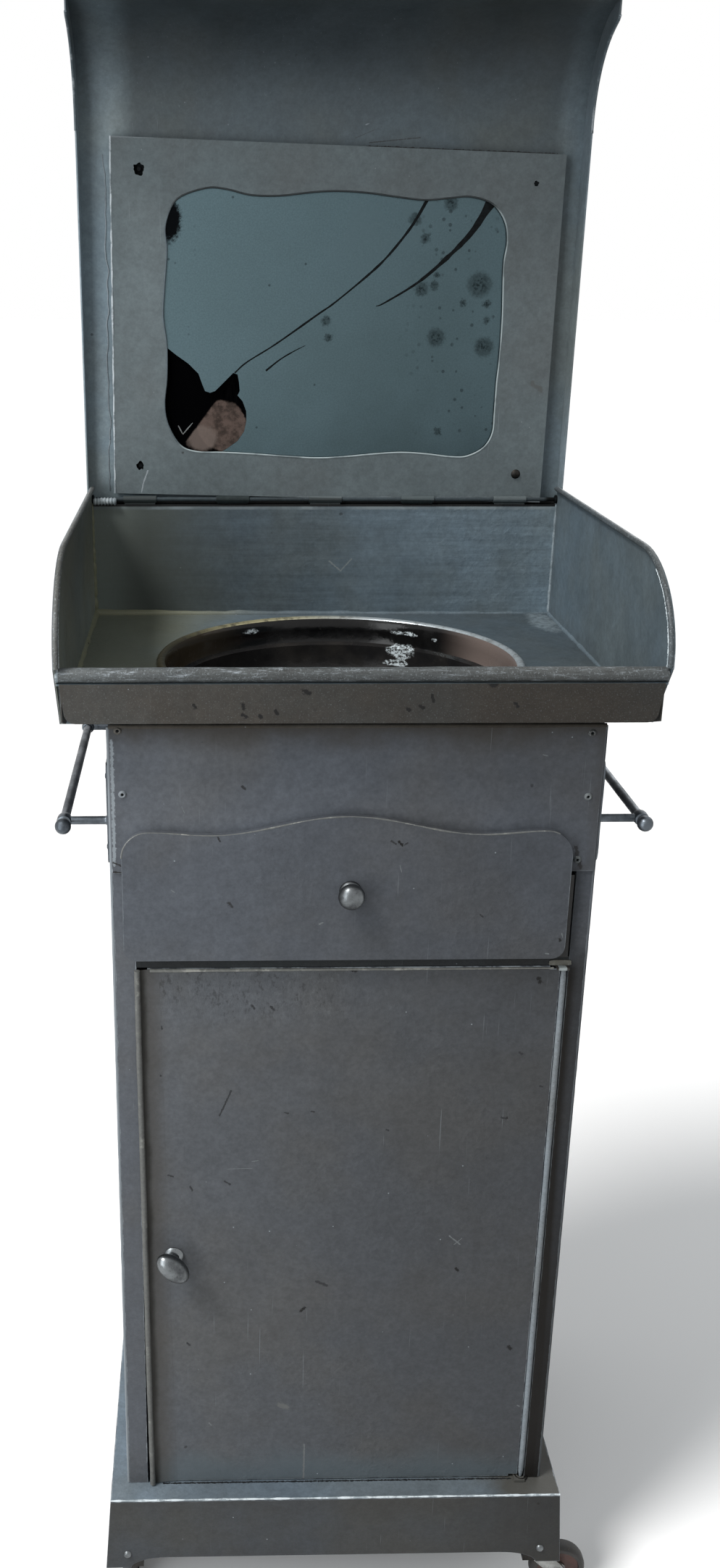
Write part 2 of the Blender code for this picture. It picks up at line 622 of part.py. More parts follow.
def carcass():
    """Side and back panels, stiles, apron, drawer rail and drawer deck."""
    half = BODY_WIDTH / 2
    for name, outer in (("left", -half), ("right", half)):
        low, high = sorted((outer, outer - math.copysign(SHEET, outer)))
        side = block("side_panel_" + name, (low, FRONT + SHEET + SEAT_GAP, BODY_FOOT),
                     (high, BACK - SHEET - SEAT_GAP, BODY_TOP))
        dress(side, "grey_paint")
    back = block("back_panel", (-half, BACK - SHEET, BODY_FOOT), (half, BACK, BODY_TOP))
    dress(back, "grey_paint")
    left_path = [(OPEN_LEFT, FRONT + STILE_RETURN), (OPEN_LEFT, FRONT), (-half, FRONT)]
    right_path = [(half, FRONT), (OPEN_RIGHT, FRONT), (OPEN_RIGHT, FRONT + STILE_RETURN)]
    for name, path in (("left", left_path), ("right", right_path)):
        stile = ribbon("stile_" + name, path, folded(path, SHEET), "Z", BODY_FOOT, BODY_TOP)
        dress(stile, "grey_paint")
    apron = block("apron", (-half, APRON_FACE, APRON_FOOT), (half, APRON_FACE + SHEET, BODY_TOP))
    dress(apron, "grey_paint")
    rail = block("drawer_rail", (OPEN_LEFT + SEAT_GAP, FRONT, RAIL_FOOT),
                 (OPEN_RIGHT - SEAT_GAP, FRONT + STILE_RETURN, DECK_Z))
    dress(rail, "dark_paint")
    deck_half = half - SHEET - SEAT_GAP
    deck = block("drawer_deck", (-deck_half, FRONT + STILE_RETURN + SEAT_GAP, DECK_Z - SHEET),
                 (deck_half, BACK - SHEET - SEAT_GAP, DECK_Z))
    dress(deck, "dark_paint")


def door_outline(inset=0.0):
    """Door front: its left edge leans in towards the foot, and its right corners clear the hinge plates."""
    step = SEAT_GAP + HINGE_PLATE
    notch = DOOR_NOTCH - inset
    right = DOOR_RIGHT - inset
    foot = DOOR_FOOT + inset
    top = DOOR_TOP - inset
    return [(DOOR_LEFT + DOOR_TAPER + inset, foot), (notch, foot), (notch, foot + step), (right, foot + step),
            (right, top - step), (notch, top - step), (notch, top), (DOOR_LEFT + inset, top)]


def door():
    """Pan-shaped door, its pivot pin in two hinge plates, and the turn knob with its latch."""
    panel = prism("door_panel", door_outline(), "Y", DOOR_FACE, DOOR_BACK)
    pocket = prism("pocket", door_outline(SHEET), "Y", DOOR_FACE + SHEET, DOOR_BACK + SHEET)
    hole = rod("hole", "Y", (KNOB_X, DOOR_FACE, KNOB_Z), SPINDLE_RADIUS + RUNNING_GAP, -SHEET, 2 * SHEET)
    cut(panel, pocket, hole)
    dress(panel, "grey_paint")
    pin_top = RAIL_FOOT - SEAT_GAP
    pin = rod("door_hinge_pin", "Z", (DOOR_PIN_X, DOOR_PIN_Y, 0), HINGE_PIN_RADIUS, LEDGE_Z + SEAT_GAP,
              pin_top)
    dress(pin, "bare_metal", smooth=True)
    plates = {"door_hinge_socket": LEDGE_Z + SEAT_GAP, "door_hinge_bracket": pin_top - HINGE_PLATE}
    for name, low in plates.items():
        plate = block(name, (DOOR_PIN_X - HINGE_PLATE_HALF, FRONT - HINGE_PLATE_REACH, low),
                      (OPEN_RIGHT - SEAT_GAP, FRONT + STILE_RETURN, low + HINGE_PLATE))
        bore = rod("bore", "Z", (DOOR_PIN_X, DOOR_PIN_Y, low), HINGE_PIN_RADIUS + RUNNING_GAP,
                   -HINGE_PLATE, 2 * HINGE_PLATE)
        cut(plate, bore)
        dress(plate, "bare_metal")
    knob, latch = door_knob()
    hang("door_axis", (DOOR_PIN_X, DOOR_PIN_Y, 0), [panel, pin])
    hang("door_knob_axis", (KNOB_X, DOOR_FACE, KNOB_Z), [knob, latch])


def door_knob():
    """Egg-shaped knob on a spindle, and the latch plate that swings behind the left stile."""
    face = DOOR_FACE - SEAT_GAP
    centre = Vector((KNOB_X, DOOR_FACE, KNOB_Z))
    tail = LATCH_Y + LATCH_SHEET - DOOR_FACE + LATCH_SHEET
    profile = [(0, -DOOR_KNOB_STAND), (DOOR_KNOB_NECK, -DOOR_KNOB_STAND), (DOOR_KNOB_NECK, -SEAT_GAP),
               (SPINDLE_RADIUS, -SEAT_GAP), (SPINDLE_RADIUS, tail), (0, tail)]
    knob = turned("door_knob", profile, "Y", centre, KNOB_ROUND)
    egg_centre = (KNOB_X, face - DOOR_KNOB_STAND, KNOB_Z)
    egg = ball("egg", egg_centre, (DOOR_KNOB_LONG, DOOR_KNOB_DEEP, DOOR_KNOB_SHORT), KNOB_ROUND,
               math.radians(DOOR_KNOB_TURN))
    join(knob, egg)
    dress(knob, "bare_metal", smooth=True)
    reach = KNOB_X - OPEN_LEFT + LATCH_OVERLAP
    half = LATCH_WIDTH / 2
    outline = [(-reach, -half)] + arc((0, 0), (half, half), -90, 90, CORNER_STEPS) + [(-reach, half)]
    plate = prism("door_latch", outline, "Y", LATCH_Y, LATCH_Y + LATCH_SHEET)
    plate.data.transform(Matrix.Rotation(math.radians(DOOR_KNOB_TURN), 4, "Y"))
    plate.data.transform(Matrix.Translation((KNOB_X, 0, KNOB_Z)))
    bore = rod("bore", "Y", (KNOB_X, LATCH_Y, KNOB_Z), SPINDLE_RADIUS + SEAT_GAP, -LATCH_SHEET,
               2 * LATCH_SHEET)
    cut(plate, bore)
    dress(plate, "dark_metal")
    return knob, plate


def drawer_front_outline():
    """Front plate with rounded corners and a top edge that swells in the middle and at both ends."""
    half = (DRAWER_RIGHT - DRAWER_LEFT) / 2
    top = APRON_FOOT + DRAWER_LAP_TOP
    foot_radii = (DRAWER_FOOT_RADIUS, DRAWER_FOOT_RADIUS)
    shoulder = half - DRAWER_TOP_RADIUS
    foot = DECK_Z + DRAWER_FOOT_RADIUS
    outline = arc((-half + DRAWER_FOOT_RADIUS, foot), foot_radii, 180, 270, CORNER_STEPS)
    outline += arc((half - DRAWER_FOOT_RADIUS, foot), foot_radii, 270, 360, CORNER_STEPS)
    ear = top + DRAWER_EAR_RISE
    corner_radii = (DRAWER_TOP_RADIUS, DRAWER_TOP_RADIUS)
    outline += arc((shoulder, ear - DRAWER_TOP_RADIUS), corner_radii, 0, 90, CORNER_STEPS)
    for step in range(1, DRAWER_TOP_STEPS):
        x = shoulder - 2 * shoulder * step / DRAWER_TOP_STEPS
        outline.append((x, top + drawer_top_swell(abs(x), shoulder)))
    outline += arc((-shoulder, ear - DRAWER_TOP_RADIUS), corner_radii, 90, 180, CORNER_STEPS)
    return [(x + DRAWER_MIDDLE, z) for x, z in outline]


def drawer_top_swell(x, shoulder):
    """Rise of the drawer front's top edge at a distance from its middle."""
    if x < DRAWER_HUMP_HALF:
        return DRAWER_HUMP_RISE * (1 + math.cos(math.pi * x / DRAWER_HUMP_HALF)) / 2
    share = (x - DRAWER_HUMP_HALF) / (shoulder - DRAWER_HUMP_HALF)
    return DRAWER_EAR_RISE * (1 - math.cos(math.pi * share)) / 2


def drawer():
    """Overlaid front, open box and turned knob."""
    front = prism("drawer_front", drawer_front_outline(), "Y", DRAWER_FACE, DRAWER_BACK_FACE)
    dress(front, "grey_paint")
    low = Vector((OPEN_LEFT + DRAWER_SIDE_GAP, DRAWER_BACK_FACE + SEAT_GAP, DECK_Z + SEAT_GAP))
    back_end = BACK - SHEET - DRAWER_BACK_GAP
    high = Vector((OPEN_RIGHT - DRAWER_SIDE_GAP, back_end, APRON_FOOT - DRAWER_HEAD_GAP))
    box = block("drawer_box", low, high)
    wall = Vector((SHEET, SHEET, SHEET))
    inside = block("inside", low + wall, high - Vector((SHEET, SHEET, -SHEET)))
    cut(box, inside)
    dress(box, "dark_paint")
    length = DRAWER_KNOB_LENGTH
    radii = (DRAWER_KNOB_COLLAR, DRAWER_KNOB_NECK, DRAWER_KNOB_NECK, DRAWER_KNOB_RADIUS, DRAWER_KNOB_RADIUS)
    profile = [(0, 0), (DRAWER_KNOB_COLLAR, 0)]
    profile += [(radius, -step * length) for radius, step in zip(radii, DRAWER_KNOB_STEPS)]
    profile += [(DRAWER_KNOB_CROWN * DRAWER_KNOB_RADIUS, -length), (0, -length)]
    centre = (DRAWER_MIDDLE + DRAWER_KNOB_SHIFT, DRAWER_FACE - SEAT_GAP, DECK_Z + DRAWER_KNOB_RISE)
    knob = turned("drawer_knob", profile, "Y", centre, KNOB_ROUND)
    dress(knob, "bare_metal", smooth=True)
    hang("drawer_runner", (0, FRONT, DECK_Z), [front, box, knob])


def tray():
    """Tray floor with its basin hole, front wall, fascia, lip roll and wings."""
    floor = block("tray_floor", (-TRAY_INNER, TRAY_FRONT + SEAT_GAP, TRAY_UNDER), (TRAY_INNER, BACK, TRAY_Z))
    hole_radius = BASIN_BOWL_RADIUS + BASIN_WALL + BASIN_HOLE_GAP
    cut(floor, rod("hole", "Z", (0, BASIN_Y, TRAY_Z), hole_radius, -2 * SHEET, SHEET, BASIN_ROUND))
    dress(floor, "grey_paint")
    wall_path = [(FASCIA_Y + SHEET + SEAT_GAP, LIP_SEAT), (FASCIA_Y + 2 * LIP_RADIUS, LIP_SEAT),
                 (TRAY_FRONT, TRAY_Z)]
    wall = ribbon("tray_front_wall", wall_path, folded(wall_path, SHEET), "X", -TRAY_INNER, TRAY_INNER)
    dress(wall, "grey_paint")
    top_half = TRAY_INNER - FASCIA_INSET
    foot_half = top_half - FASCIA_TAPER
    foot = LIP_SEAT - FASCIA_HEIGHT
    corner = (FASCIA_CORNER, FASCIA_CORNER)
    outline = [(-top_half, LIP_SEAT)]
    outline += arc((-foot_half + FASCIA_CORNER, foot + FASCIA_CORNER), corner, 180, 270, CORNER_STEPS)
    outline += arc((foot_half - FASCIA_CORNER, foot + FASCIA_CORNER), corner, 270, 360, CORNER_STEPS)
    outline += [(top_half, LIP_SEAT)]
    fascia = prism("tray_fascia", outline, "Y", FASCIA_Y, FASCIA_Y + SHEET)
    dress(fascia, "grey_paint")
    lip_centre = (0, FASCIA_Y + LIP_RADIUS, LIP_SEAT + SEAT_GAP + LIP_RADIUS)
    lip = rod("front_lip_roll", "X", lip_centre, LIP_RADIUS, -TRAY_INNER, TRAY_INNER, KNOB_ROUND)
    dress(lip, "grey_paint", smooth=True)
    curve_centre = (FRONT + WING_FLAT_END, WING_TOP - WING_CURVE_DROP)
    curve = arc(curve_centre, (WING_FLAT_END + WING_NOSE, WING_CURVE_DROP), 90, 180, WING_STEPS)
    profile = [(BACK, TRAY_UNDER), (BACK, WING_TOP)] + curve + [(TRAY_FRONT, TRAY_UNDER)]
    for name, outer in (("left", -TRAY_HALF), ("right", TRAY_HALF)):
        low, high = sorted((outer, outer - math.copysign(SHEET, outer)))
        wing = prism("wing_" + name, profile, "X", low, high)
        dress(wing, "grey_paint")


def knuckle(name, x):
    """Hinge knuckle, a tube round the lid rod."""
    bore = HINGE_ROD_RADIUS + KNUCKLE_BORE_GAP
    half = KNUCKLE_LENGTH / 2
    profile = [(bore, -half), (KNUCKLE_RADIUS, -half), (KNUCKLE_RADIUS, half), (bore, half)]
    return turned(name, profile, "X", (x, HINGE_Y, HINGE_Z), ring=True)


def backsplash_outline(fixed):
    """Back wall of the tray, with a tab up into the wall of each fixed knuckle."""
    low = TRAY_Z + SEAT_GAP
    outline = [(-TRAY_INNER, BACKSPLASH_TOP), (-TRAY_INNER, low), (TRAY_INNER, low),
               (TRAY_INNER, BACKSPLASH_TOP)]
    for x in reversed(fixed):
        outline += [(x + LEAF_HALF, BACKSPLASH_TOP), (x + LEAF_HALF, LEAF_TOP),
                    (x - LEAF_HALF, LEAF_TOP), (x - LEAF_HALF, BACKSPLASH_TOP)]
    return outline


def lid_hinge():
    """Backsplash with three fixed knuckles, the rod, and two knuckles that belong to the lid."""
    fixed = [-2 * KNUCKLE_PITCH, 0, 2 * KNUCKLE_PITCH]
    splash = prism("backsplash", backsplash_outline(fixed), "Y", BACK - SHEET, BACK)
    join(splash, *[knuckle("knuckle", x) for x in fixed])
    dress(splash, "grey_paint", smooth=True)
    hinge_rod = rod("lid_hinge_rod", "X", (0, HINGE_Y, HINGE_Z), HINGE_ROD_RADIUS, -TRAY_INNER, TRAY_INNER)
    dress(hinge_rod, "bare_metal", smooth=True)
    pieces = []
    for name, x in (("left", -KNUCKLE_PITCH), ("right", KNUCKLE_PITCH)):
        piece = knuckle("lid_knuckle_" + name, x)
        leaf = block("leaf", (x - LEAF_HALF, HINGE_Y, LEAF_TOP - SHEET), (x + LEAF_HALF, LID_Y, LEAF_TOP))
        join(piece, leaf)
        pieces.append(dress(piece, "grey_paint", smooth=True))
    return pieces


def lid_path():
    """Inner face of the lid, from its hinge flange up the flat panel and round the roll."""
    start = HINGE_Y + KNUCKLE_RADIUS + LID_FLANGE_GAP
    roll = arc((LID_Y - LID_ROLL_DROP, LID_FLAT_TOP), (LID_ROLL_DROP, LID_ROLL_RUN), 0, 90, ROLL_STEPS)
    return [(start, LID_FLANGE_TOP), (LID_Y, LID_FLANGE_TOP)] + roll


def cheek_edges():
    """Outer and inner edges of a lid cheek, a strip along the panel that narrows to the roll's nose."""
    outer = [(LID_Y - SEAT_GAP, LID_FLANGE_TOP + SEAT_GAP)]
    inner = [(LID_Y - LID_CHEEK_FOOT, LID_FLANGE_TOP + SEAT_GAP)]
    for step in range(ROLL_STEPS + 1):
        angle = math.pi / 2 * step / ROLL_STEPS
        point = Vector((LID_Y - LID_ROLL_DROP * (1 - math.cos(angle)),
                        LID_FLAT_TOP + LID_ROLL_RUN * math.sin(angle)))
        inward = Vector((-LID_ROLL_RUN * math.cos(angle), -LID_ROLL_DROP * math.sin(angle))).normalized()
        fullness = math.sqrt(1 - step / ROLL_STEPS)
        width = LID_CHEEK_NOSE + (LID_CHEEK - LID_CHEEK_NOSE) * fullness
        outer.append(tuple(point + inward * SEAT_GAP))
        inner.append(tuple(point + inward * width))
    return outer, inner


def frame_corners():
    """Corners of the mirror frame, which is a little out of square: lower left first, then round."""
    return [(FRAME_LEFT, HINGE_Z + FRAME_RISE_LEFT), (FRAME_RIGHT, HINGE_Z + FRAME_RISE_RIGHT),
            (FRAME_RIGHT, LID_FLAT_TOP - FRAME_HEAD_RIGHT), (FRAME_LEFT, LID_FLAT_TOP - FRAME_HEAD_LEFT)]


def frame_screw_places():
    """Screw centres, one in from each corner of the frame."""
    inset = FRAME_SCREW_INSET
    names = ("low_left", "low_right", "top_right", "top_left")
    inward = ((1, 1), (-1, 1), (-1, -1), (1, -1))
    return [(name, x + inset * step_x, z + inset * step_z)
            for name, (x, z), (step_x, step_z) in zip(names, frame_corners(), inward)]


def opening_outline():
    """Mirror opening: round corners, with edges that swell at the middle and the ends."""
    half_x = (OPENING_RIGHT - OPENING_LEFT) / 2 - OPENING_SIDE_WAVE
    half_z = (OPENING_TOP - OPENING_FOOT) / 2 - OPENING_WAVE
    middle_x = (OPENING_LEFT + OPENING_RIGHT) / 2
    middle_z = (OPENING_FOOT + OPENING_TOP) / 2
    flat_x = half_x - OPENING_CORNER
    flat_z = half_z - OPENING_CORNER
    outline = []
    for quarter in range(4):
        along_x = quarter % 2 == 0
        sign = 1 if quarter < 2 else -1
        flat = flat_x if along_x else flat_z
        wave = OPENING_WAVE if along_x else OPENING_SIDE_WAVE
        far = half_z if along_x else half_x
        for step in range(OPENING_STEPS + 1):
            run = flat - 2 * flat * step / OPENING_STEPS
            swell = wave * math.cos(math.tau * run / flat)
            point = (run * sign, (far + swell) * sign) if along_x else (-(far + swell) * sign, run * sign)
            outline.append(point)
        centre_x = flat_x * (-1 if quarter in (0, 1) else 1)
        centre_z = flat_z * (1 if quarter in (0, 3) else -1)
        radii = (OPENING_CORNER + OPENING_SIDE_WAVE, OPENING_CORNER + OPENING_WAVE)
        start = 90 * (quarter + 1)
        outline += arc((centre_x, centre_z), radii, start, start + 90, CORNER_STEPS)[1:-1]
    return [(x + middle_x, z + middle_z) for x, z in outline]


def glass_outline(grow):
    """Rectangle that covers the mirror opening with a margin."""
    margin = GLASS_MARGIN + grow
    return rectangle(OPENING_LEFT - margin, OPENING_FOOT - margin,
                     OPENING_RIGHT + margin, OPENING_TOP + margin)


def broken_glass_outline():
    """Mirror glass with its lower left corner broken away along a jagged line."""
    low_left, low_right, top_right, top_left = glass_outline(-GLASS_FIT)
    left, low = low_left
    break_line = [(left + BREAK_RUN * run, low + BREAK_RISE * rise) for run, rise in BREAK_POINTS]
    return break_line + [low_right, top_right, top_left]


def mirror():
    """Frame board with a scalloped opening, the broken glass behind it, and a backing board."""
    frame = prism("mirror_frame", frame_corners(), "Y", FRAME_FRONT, FRAME_BACK)
    opening = prism("opening", opening_outline(), "Y", FRAME_FRONT - SHEET, FRAME_BACK + SHEET)
    rebate = prism("rebate", glass_outline(0), "Y", FRAME_FRONT + FRAME_FACE, FRAME_BACK + SHEET)
    holes = []
    screws = []
    for name, x, z in frame_screw_places():
        hole_radius = FRAME_SCREW_RADIUS + SEAT_GAP
        holes.append(rod("hole", "Y", (x, FRAME_FRONT, z), hole_radius, -SHEET, FRAME_DEPTH + SHEET))
        head = FRAME_SCREW_RADIUS + FRAME_SCREW_HEAD_MARGIN
        dome = arc((0, -SEAT_GAP), (head, FRAME_SCREW_DOME), -90, 0, DOME_STEPS)
        tail = FRAME_DEPTH + SEAT_GAP + SHEET
        profile = [(0, -SEAT_GAP - FRAME_SCREW_DOME)] + dome[1:]
        profile += [(FRAME_SCREW_RADIUS, -SEAT_GAP), (FRAME_SCREW_RADIUS, tail), (0, tail)]
        screw = turned("frame_screw_" + name, profile, "Y", (x, FRAME_FRONT, z))
        screws.append(dress(screw, "dark_metal", smooth=True))
    cut(frame, opening, rebate, *holes)
    dress(frame, "grey_paint")
    glass_front = FRAME_FRONT + FRAME_FACE + SEAT_GAP
    glass = prism("mirror_glass", broken_glass_outline(), "Y", glass_front, glass_front + GLASS_THICKNESS)
    dress(glass, "mirror")
    backing_front = glass_front + GLASS_THICKNESS + SEAT_GAP
    backing = prism("mirror_backing", glass_outline(-GLASS_FIT), "Y", backing_front,
                    backing_front + BACKING_THICKNESS)
    dress(backing, "board")
    return [frame, glass, backing] + screws


def lid_strip(shape, low, high):
    """Face of the lid between two lines of corners that run from left to right."""
    return shape.faces.new(list(low) + list(reversed(high)))


def screw_hole_halves(shape, x, z):
    """Lower and upper halves of a screw hole's rim in the lid's panel, both from left to right."""
    radius = FRAME_SCREW_RADIUS + SEAT_GAP
    lower = [shape.verts.new((px, LID_Y, pz))
             for px, pz in arc((x, z), (radius, radius), 180, 360, CORNER_STEPS)]
    upper = [shape.verts.new((px, LID_Y, pz))
             for px, pz in arc((x, z), (radius, radius), 180, 0, CORNER_STEPS)[1:-1]]
    return lower, [lower[0]] + upper + [lower[-1]]


def lid_panel(shape, foot, top):
    """Faces of the lid's flat panel, which meet round the screw holes of the mirror frame."""
    places = {name: (x, z) for name, x, z in frame_screw_places()}
    faces = []
    line = foot
    for left, right in (("low_left", "low_right"), ("top_left", "top_right")):
        start = shape.verts.new((-LID_HALF, LID_Y, places[left][1]))
        end = shape.verts.new((LID_HALF, LID_Y, places[right][1]))
        left_lower, left_upper = screw_hole_halves(shape, *places[left])
        right_lower, right_upper = screw_hole_halves(shape, *places[right])
        faces.append(lid_strip(shape, line, [start] + left_lower + right_lower + [end]))
        line = [start] + left_upper + right_upper + [end]
    faces.append(lid_strip(shape, line, top))
    return faces


def lid_sheet():
    """Bent sheet of the lid: hinge flange, flat panel and roll, thickened towards the outside."""
    path = lid_path()
    shape = bmesh.new()
    rows = [[shape.verts.new((x, *point)) for x in (-LID_HALF, LID_HALF)] for point in path]
    faces = [lid_strip(shape, rows[0], rows[1])]
    faces += lid_panel(shape, rows[1], rows[2])
    faces += [lid_strip(shape, low, high) for low, high in zip(rows[2:], rows[3:])]
    pushed = bmesh.ops.extrude_face_region(shape, geom=faces)
    shifts = {near: Vector(far) - Vector(near) for near, far in zip(path, folded(path, SHEET))}
    for vert in [part for part in pushed["geom"] if isinstance(part, bmesh.types.BMVert)]:
        shift = Vector((SHEET, 0))
        for near, bend_shift in shifts.items():
            if (vert.co.yz - Vector(near)).length < MERGE_DISTANCE:
                shift = bend_shift
        vert.co.yz += shift
    return dress(add_object("lid_sheet", shape), "grey_paint", smooth=True)


def lid():
    """Bonnet lid: one bent sheet with a cheek down each side, its hinge knuckles and the mirror."""
    pieces = [lid_sheet()]
    for name, inner in (("left", -LID_INNER), ("right", LID_INNER)):
        low, high = sorted((inner, inner + math.copysign(SHEET, inner)))
        cheek = ribbon("lid_cheek_" + name, *cheek_edges(), "X", low, high)
        pieces.append(dress(cheek, "grey_paint"))
    pieces += lid_hinge()
    pieces += mirror()
    hang("lid_axis", (0, HINGE_Y, HINGE_Z), pieces)


def basin():
    """Round bowl that hangs in the tray by its rolled rim and lifts straight out."""
    seat = TRAY_Z + SEAT_GAP
    roll_radius = BASIN_RIM_RADIUS - BASIN_RIM_ROLL
    roll_z = seat + BASIN_RIM_ROLL
    floor = seat - BASIN_DEPTH
    rise = seat - floor
    outer_radii = (BASIN_BOWL_RADIUS - BASIN_FOOT_RADIUS + BASIN_WALL, rise)
    inner_radii = (BASIN_BOWL_RADIUS - BASIN_FOOT_RADIUS, rise - BASIN_WALL)
    outside = arc((BASIN_FOOT_RADIUS, seat), outer_radii, -90, 0, CORNER_STEPS)
    rim = arc((roll_radius, roll_z), (BASIN_RIM_ROLL, BASIN_RIM_ROLL), *BASIN_RIM_ARC, CORNER_STEPS)
    inside = arc((BASIN_FOOT_RADIUS, seat), inner_radii, 0, -90, CORNER_STEPS)
    profile = [(0, floor)] + outside + rim + inside + [(0, floor + BASIN_WALL)]
    basin_item = turned("basin", profile, "Z", (0, BASIN_Y, 0), BASIN_ROUND)
    dress(basin_item, "enamel", smooth=True)
    hang("basin_seat", (0, BASIN_Y, seat), [basin_item])


def towel_arm(name, side, y):
    """Plate on the side panel, with a stub arm and the eye that holds the towel bar."""
    face = BODY_WIDTH / 2 + SEAT_GAP
    low, high = sorted((side * face, side * (face + RAIL_PLATE)))
    arm = block(name, (low, y - RAIL_PLATE_WIDTH / 2, RAIL_Z - RAIL_PLATE_BELOW),
                (high, y + RAIL_PLATE_WIDTH / 2, RAIL_Z + RAIL_PLATE_ABOVE))
    start, end = sorted((side * (face + RAIL_PLATE / 2), side * RAIL_X))
    stub = rod("stub", "X", (0, y, RAIL_Z), RAIL_ARM_RADIUS, start, end)
    eye = ball("eye", (side * RAIL_X, y, RAIL_Z), (RAIL_EYE_RADIUS, RAIL_EYE_RADIUS, RAIL_EYE_RADIUS))
    join(arm, stub, eye)
    bore = rod("bore", "Y", (side * RAIL_X, y, RAIL_Z), RAIL_BAR_RADIUS + SEAT_GAP, -2 * RAIL_EYE_RADIUS,
               2 * RAIL_EYE_RADIUS)
    cut(arm, bore)
    dress(arm, "bare_metal", smooth=True)


def towel_rails():
    """A bar along each side, with a ball at both ends, held by two arms."""
    front_arm = FRONT + RAIL_FRONT_SETBACK
    back_arm = front_arm + RAIL_SPAN
    front_end = front_arm - RAIL_END
    back_end = back_arm + RAIL_END
    for name, side in (("left", -1), ("right", 1)):
        towel_arm("towel_arm_front_" + name, side, front_arm)
        towel_arm("towel_arm_back_" + name, side, back_arm)
        centre = (side * RAIL_X, 0, RAIL_Z)
        bar = rod("towel_bar_" + name, "Y", centre, RAIL_BAR_RADIUS, front_end, back_end)
        radii = (RAIL_BALL_RADIUS, RAIL_BALL_RADIUS, RAIL_BALL_RADIUS)
        ends = [ball("end", (side * RAIL_X, y, RAIL_Z), radii) for y in (front_end, back_end)]
        join(bar, *ends)
        dress(bar, "bare_metal", smooth=True)


def main():
    """Build the whole washstand."""
    start_empty()
    plinth()
    casters()
    carcass()
    door()
    drawer()
    tray()
    basin()
    lid()
    towel_rails()


main()
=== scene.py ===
"""Looks of the washstand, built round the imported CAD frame.

Worn grey paint over sheet metal, an aged and cracked mirror, a dark enamel basin and bare-metal fittings.
Metres, +Z up, front towards -Y, in the frame's own coordinates.
"""
import math

import bmesh
import bpy
from mathutils import Matrix, Vector, noise


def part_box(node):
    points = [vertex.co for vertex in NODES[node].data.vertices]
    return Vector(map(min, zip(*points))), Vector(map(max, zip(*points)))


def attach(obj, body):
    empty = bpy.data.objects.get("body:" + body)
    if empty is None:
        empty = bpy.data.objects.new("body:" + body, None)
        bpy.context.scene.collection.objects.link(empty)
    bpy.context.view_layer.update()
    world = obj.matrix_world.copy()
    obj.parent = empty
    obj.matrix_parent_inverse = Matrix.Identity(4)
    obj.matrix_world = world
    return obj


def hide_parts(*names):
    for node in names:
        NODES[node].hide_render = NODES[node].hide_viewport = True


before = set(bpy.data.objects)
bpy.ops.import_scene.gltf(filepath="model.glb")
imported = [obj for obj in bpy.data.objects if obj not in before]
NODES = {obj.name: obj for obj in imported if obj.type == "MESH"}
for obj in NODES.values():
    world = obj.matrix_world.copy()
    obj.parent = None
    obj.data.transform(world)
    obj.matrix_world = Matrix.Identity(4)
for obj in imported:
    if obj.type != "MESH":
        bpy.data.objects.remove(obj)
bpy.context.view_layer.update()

# Image and camera, fitted to the photograph
IMAGE_SIZE = (994, 2165)
FOCAL_PIXELS = 2011.06
PRINCIPAL_POINT = (332.09, 1073.23)
CAMERA_PLACE = (-0.1075, -1.1644, 1.1445)
CAMERA_PITCH = 19.5301
CAMERA_YAW = 1.3072
CAMERA_ROLL = -0.2073
SENSOR = 36.0

# Places read from the frame
SHEET = 0.0012
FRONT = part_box("stile_left")[0].y
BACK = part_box("back_panel")[1].y
TRAY_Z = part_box("tray_floor")[1].z
HINGE_LOW, HINGE_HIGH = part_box("lid_hinge_rod")
HINGE_Y = (HINGE_LOW.y + HINGE_HIGH.y) / 2
HINGE_Z = (HINGE_LOW.z + HINGE_HIGH.z) / 2
LID_LOW, LID_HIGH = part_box("lid_sheet")
LID_Y = LID_HIGH.y - SHEET
LID_FLAT_TOP = 1.2465
LID_ROLL_REST = 0.0045
LID_ROLL_RUN = LID_HIGH.z - SHEET - LID_FLAT_TOP + LID_ROLL_REST
LID_ROLL_DROP = LID_Y - LID_LOW.y
LID_HALF = LID_HIGH.x
FRAME_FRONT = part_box("mirror_frame")[0].y
FRAME_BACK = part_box("mirror_frame")[1].y
GLASS_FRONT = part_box("mirror_glass")[0].y
APRON_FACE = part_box("apron")[0].y
DOOR_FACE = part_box("door_panel")[0].y
FASCIA_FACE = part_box("tray_fascia")[0].y
SIDES = (("left", -1), ("right", 1))

# Up to this angle, in degrees, the faces of sheet and board are shaded as one
CRISP = 30.0

# The same for the casters and for the thread on the lid's rod
FORGED = 35.0
THREADED = 25.0


def tone(red, green, blue):
    """Linear colour of an sRGB triple from 0 to 255."""
    values = [channel / 255 for channel in (red, green, blue)]
    return tuple(v / 12.92 if v <= 0.04045 else ((v + 0.055) / 1.055) ** 2.4 for v in values) + (1.0,)


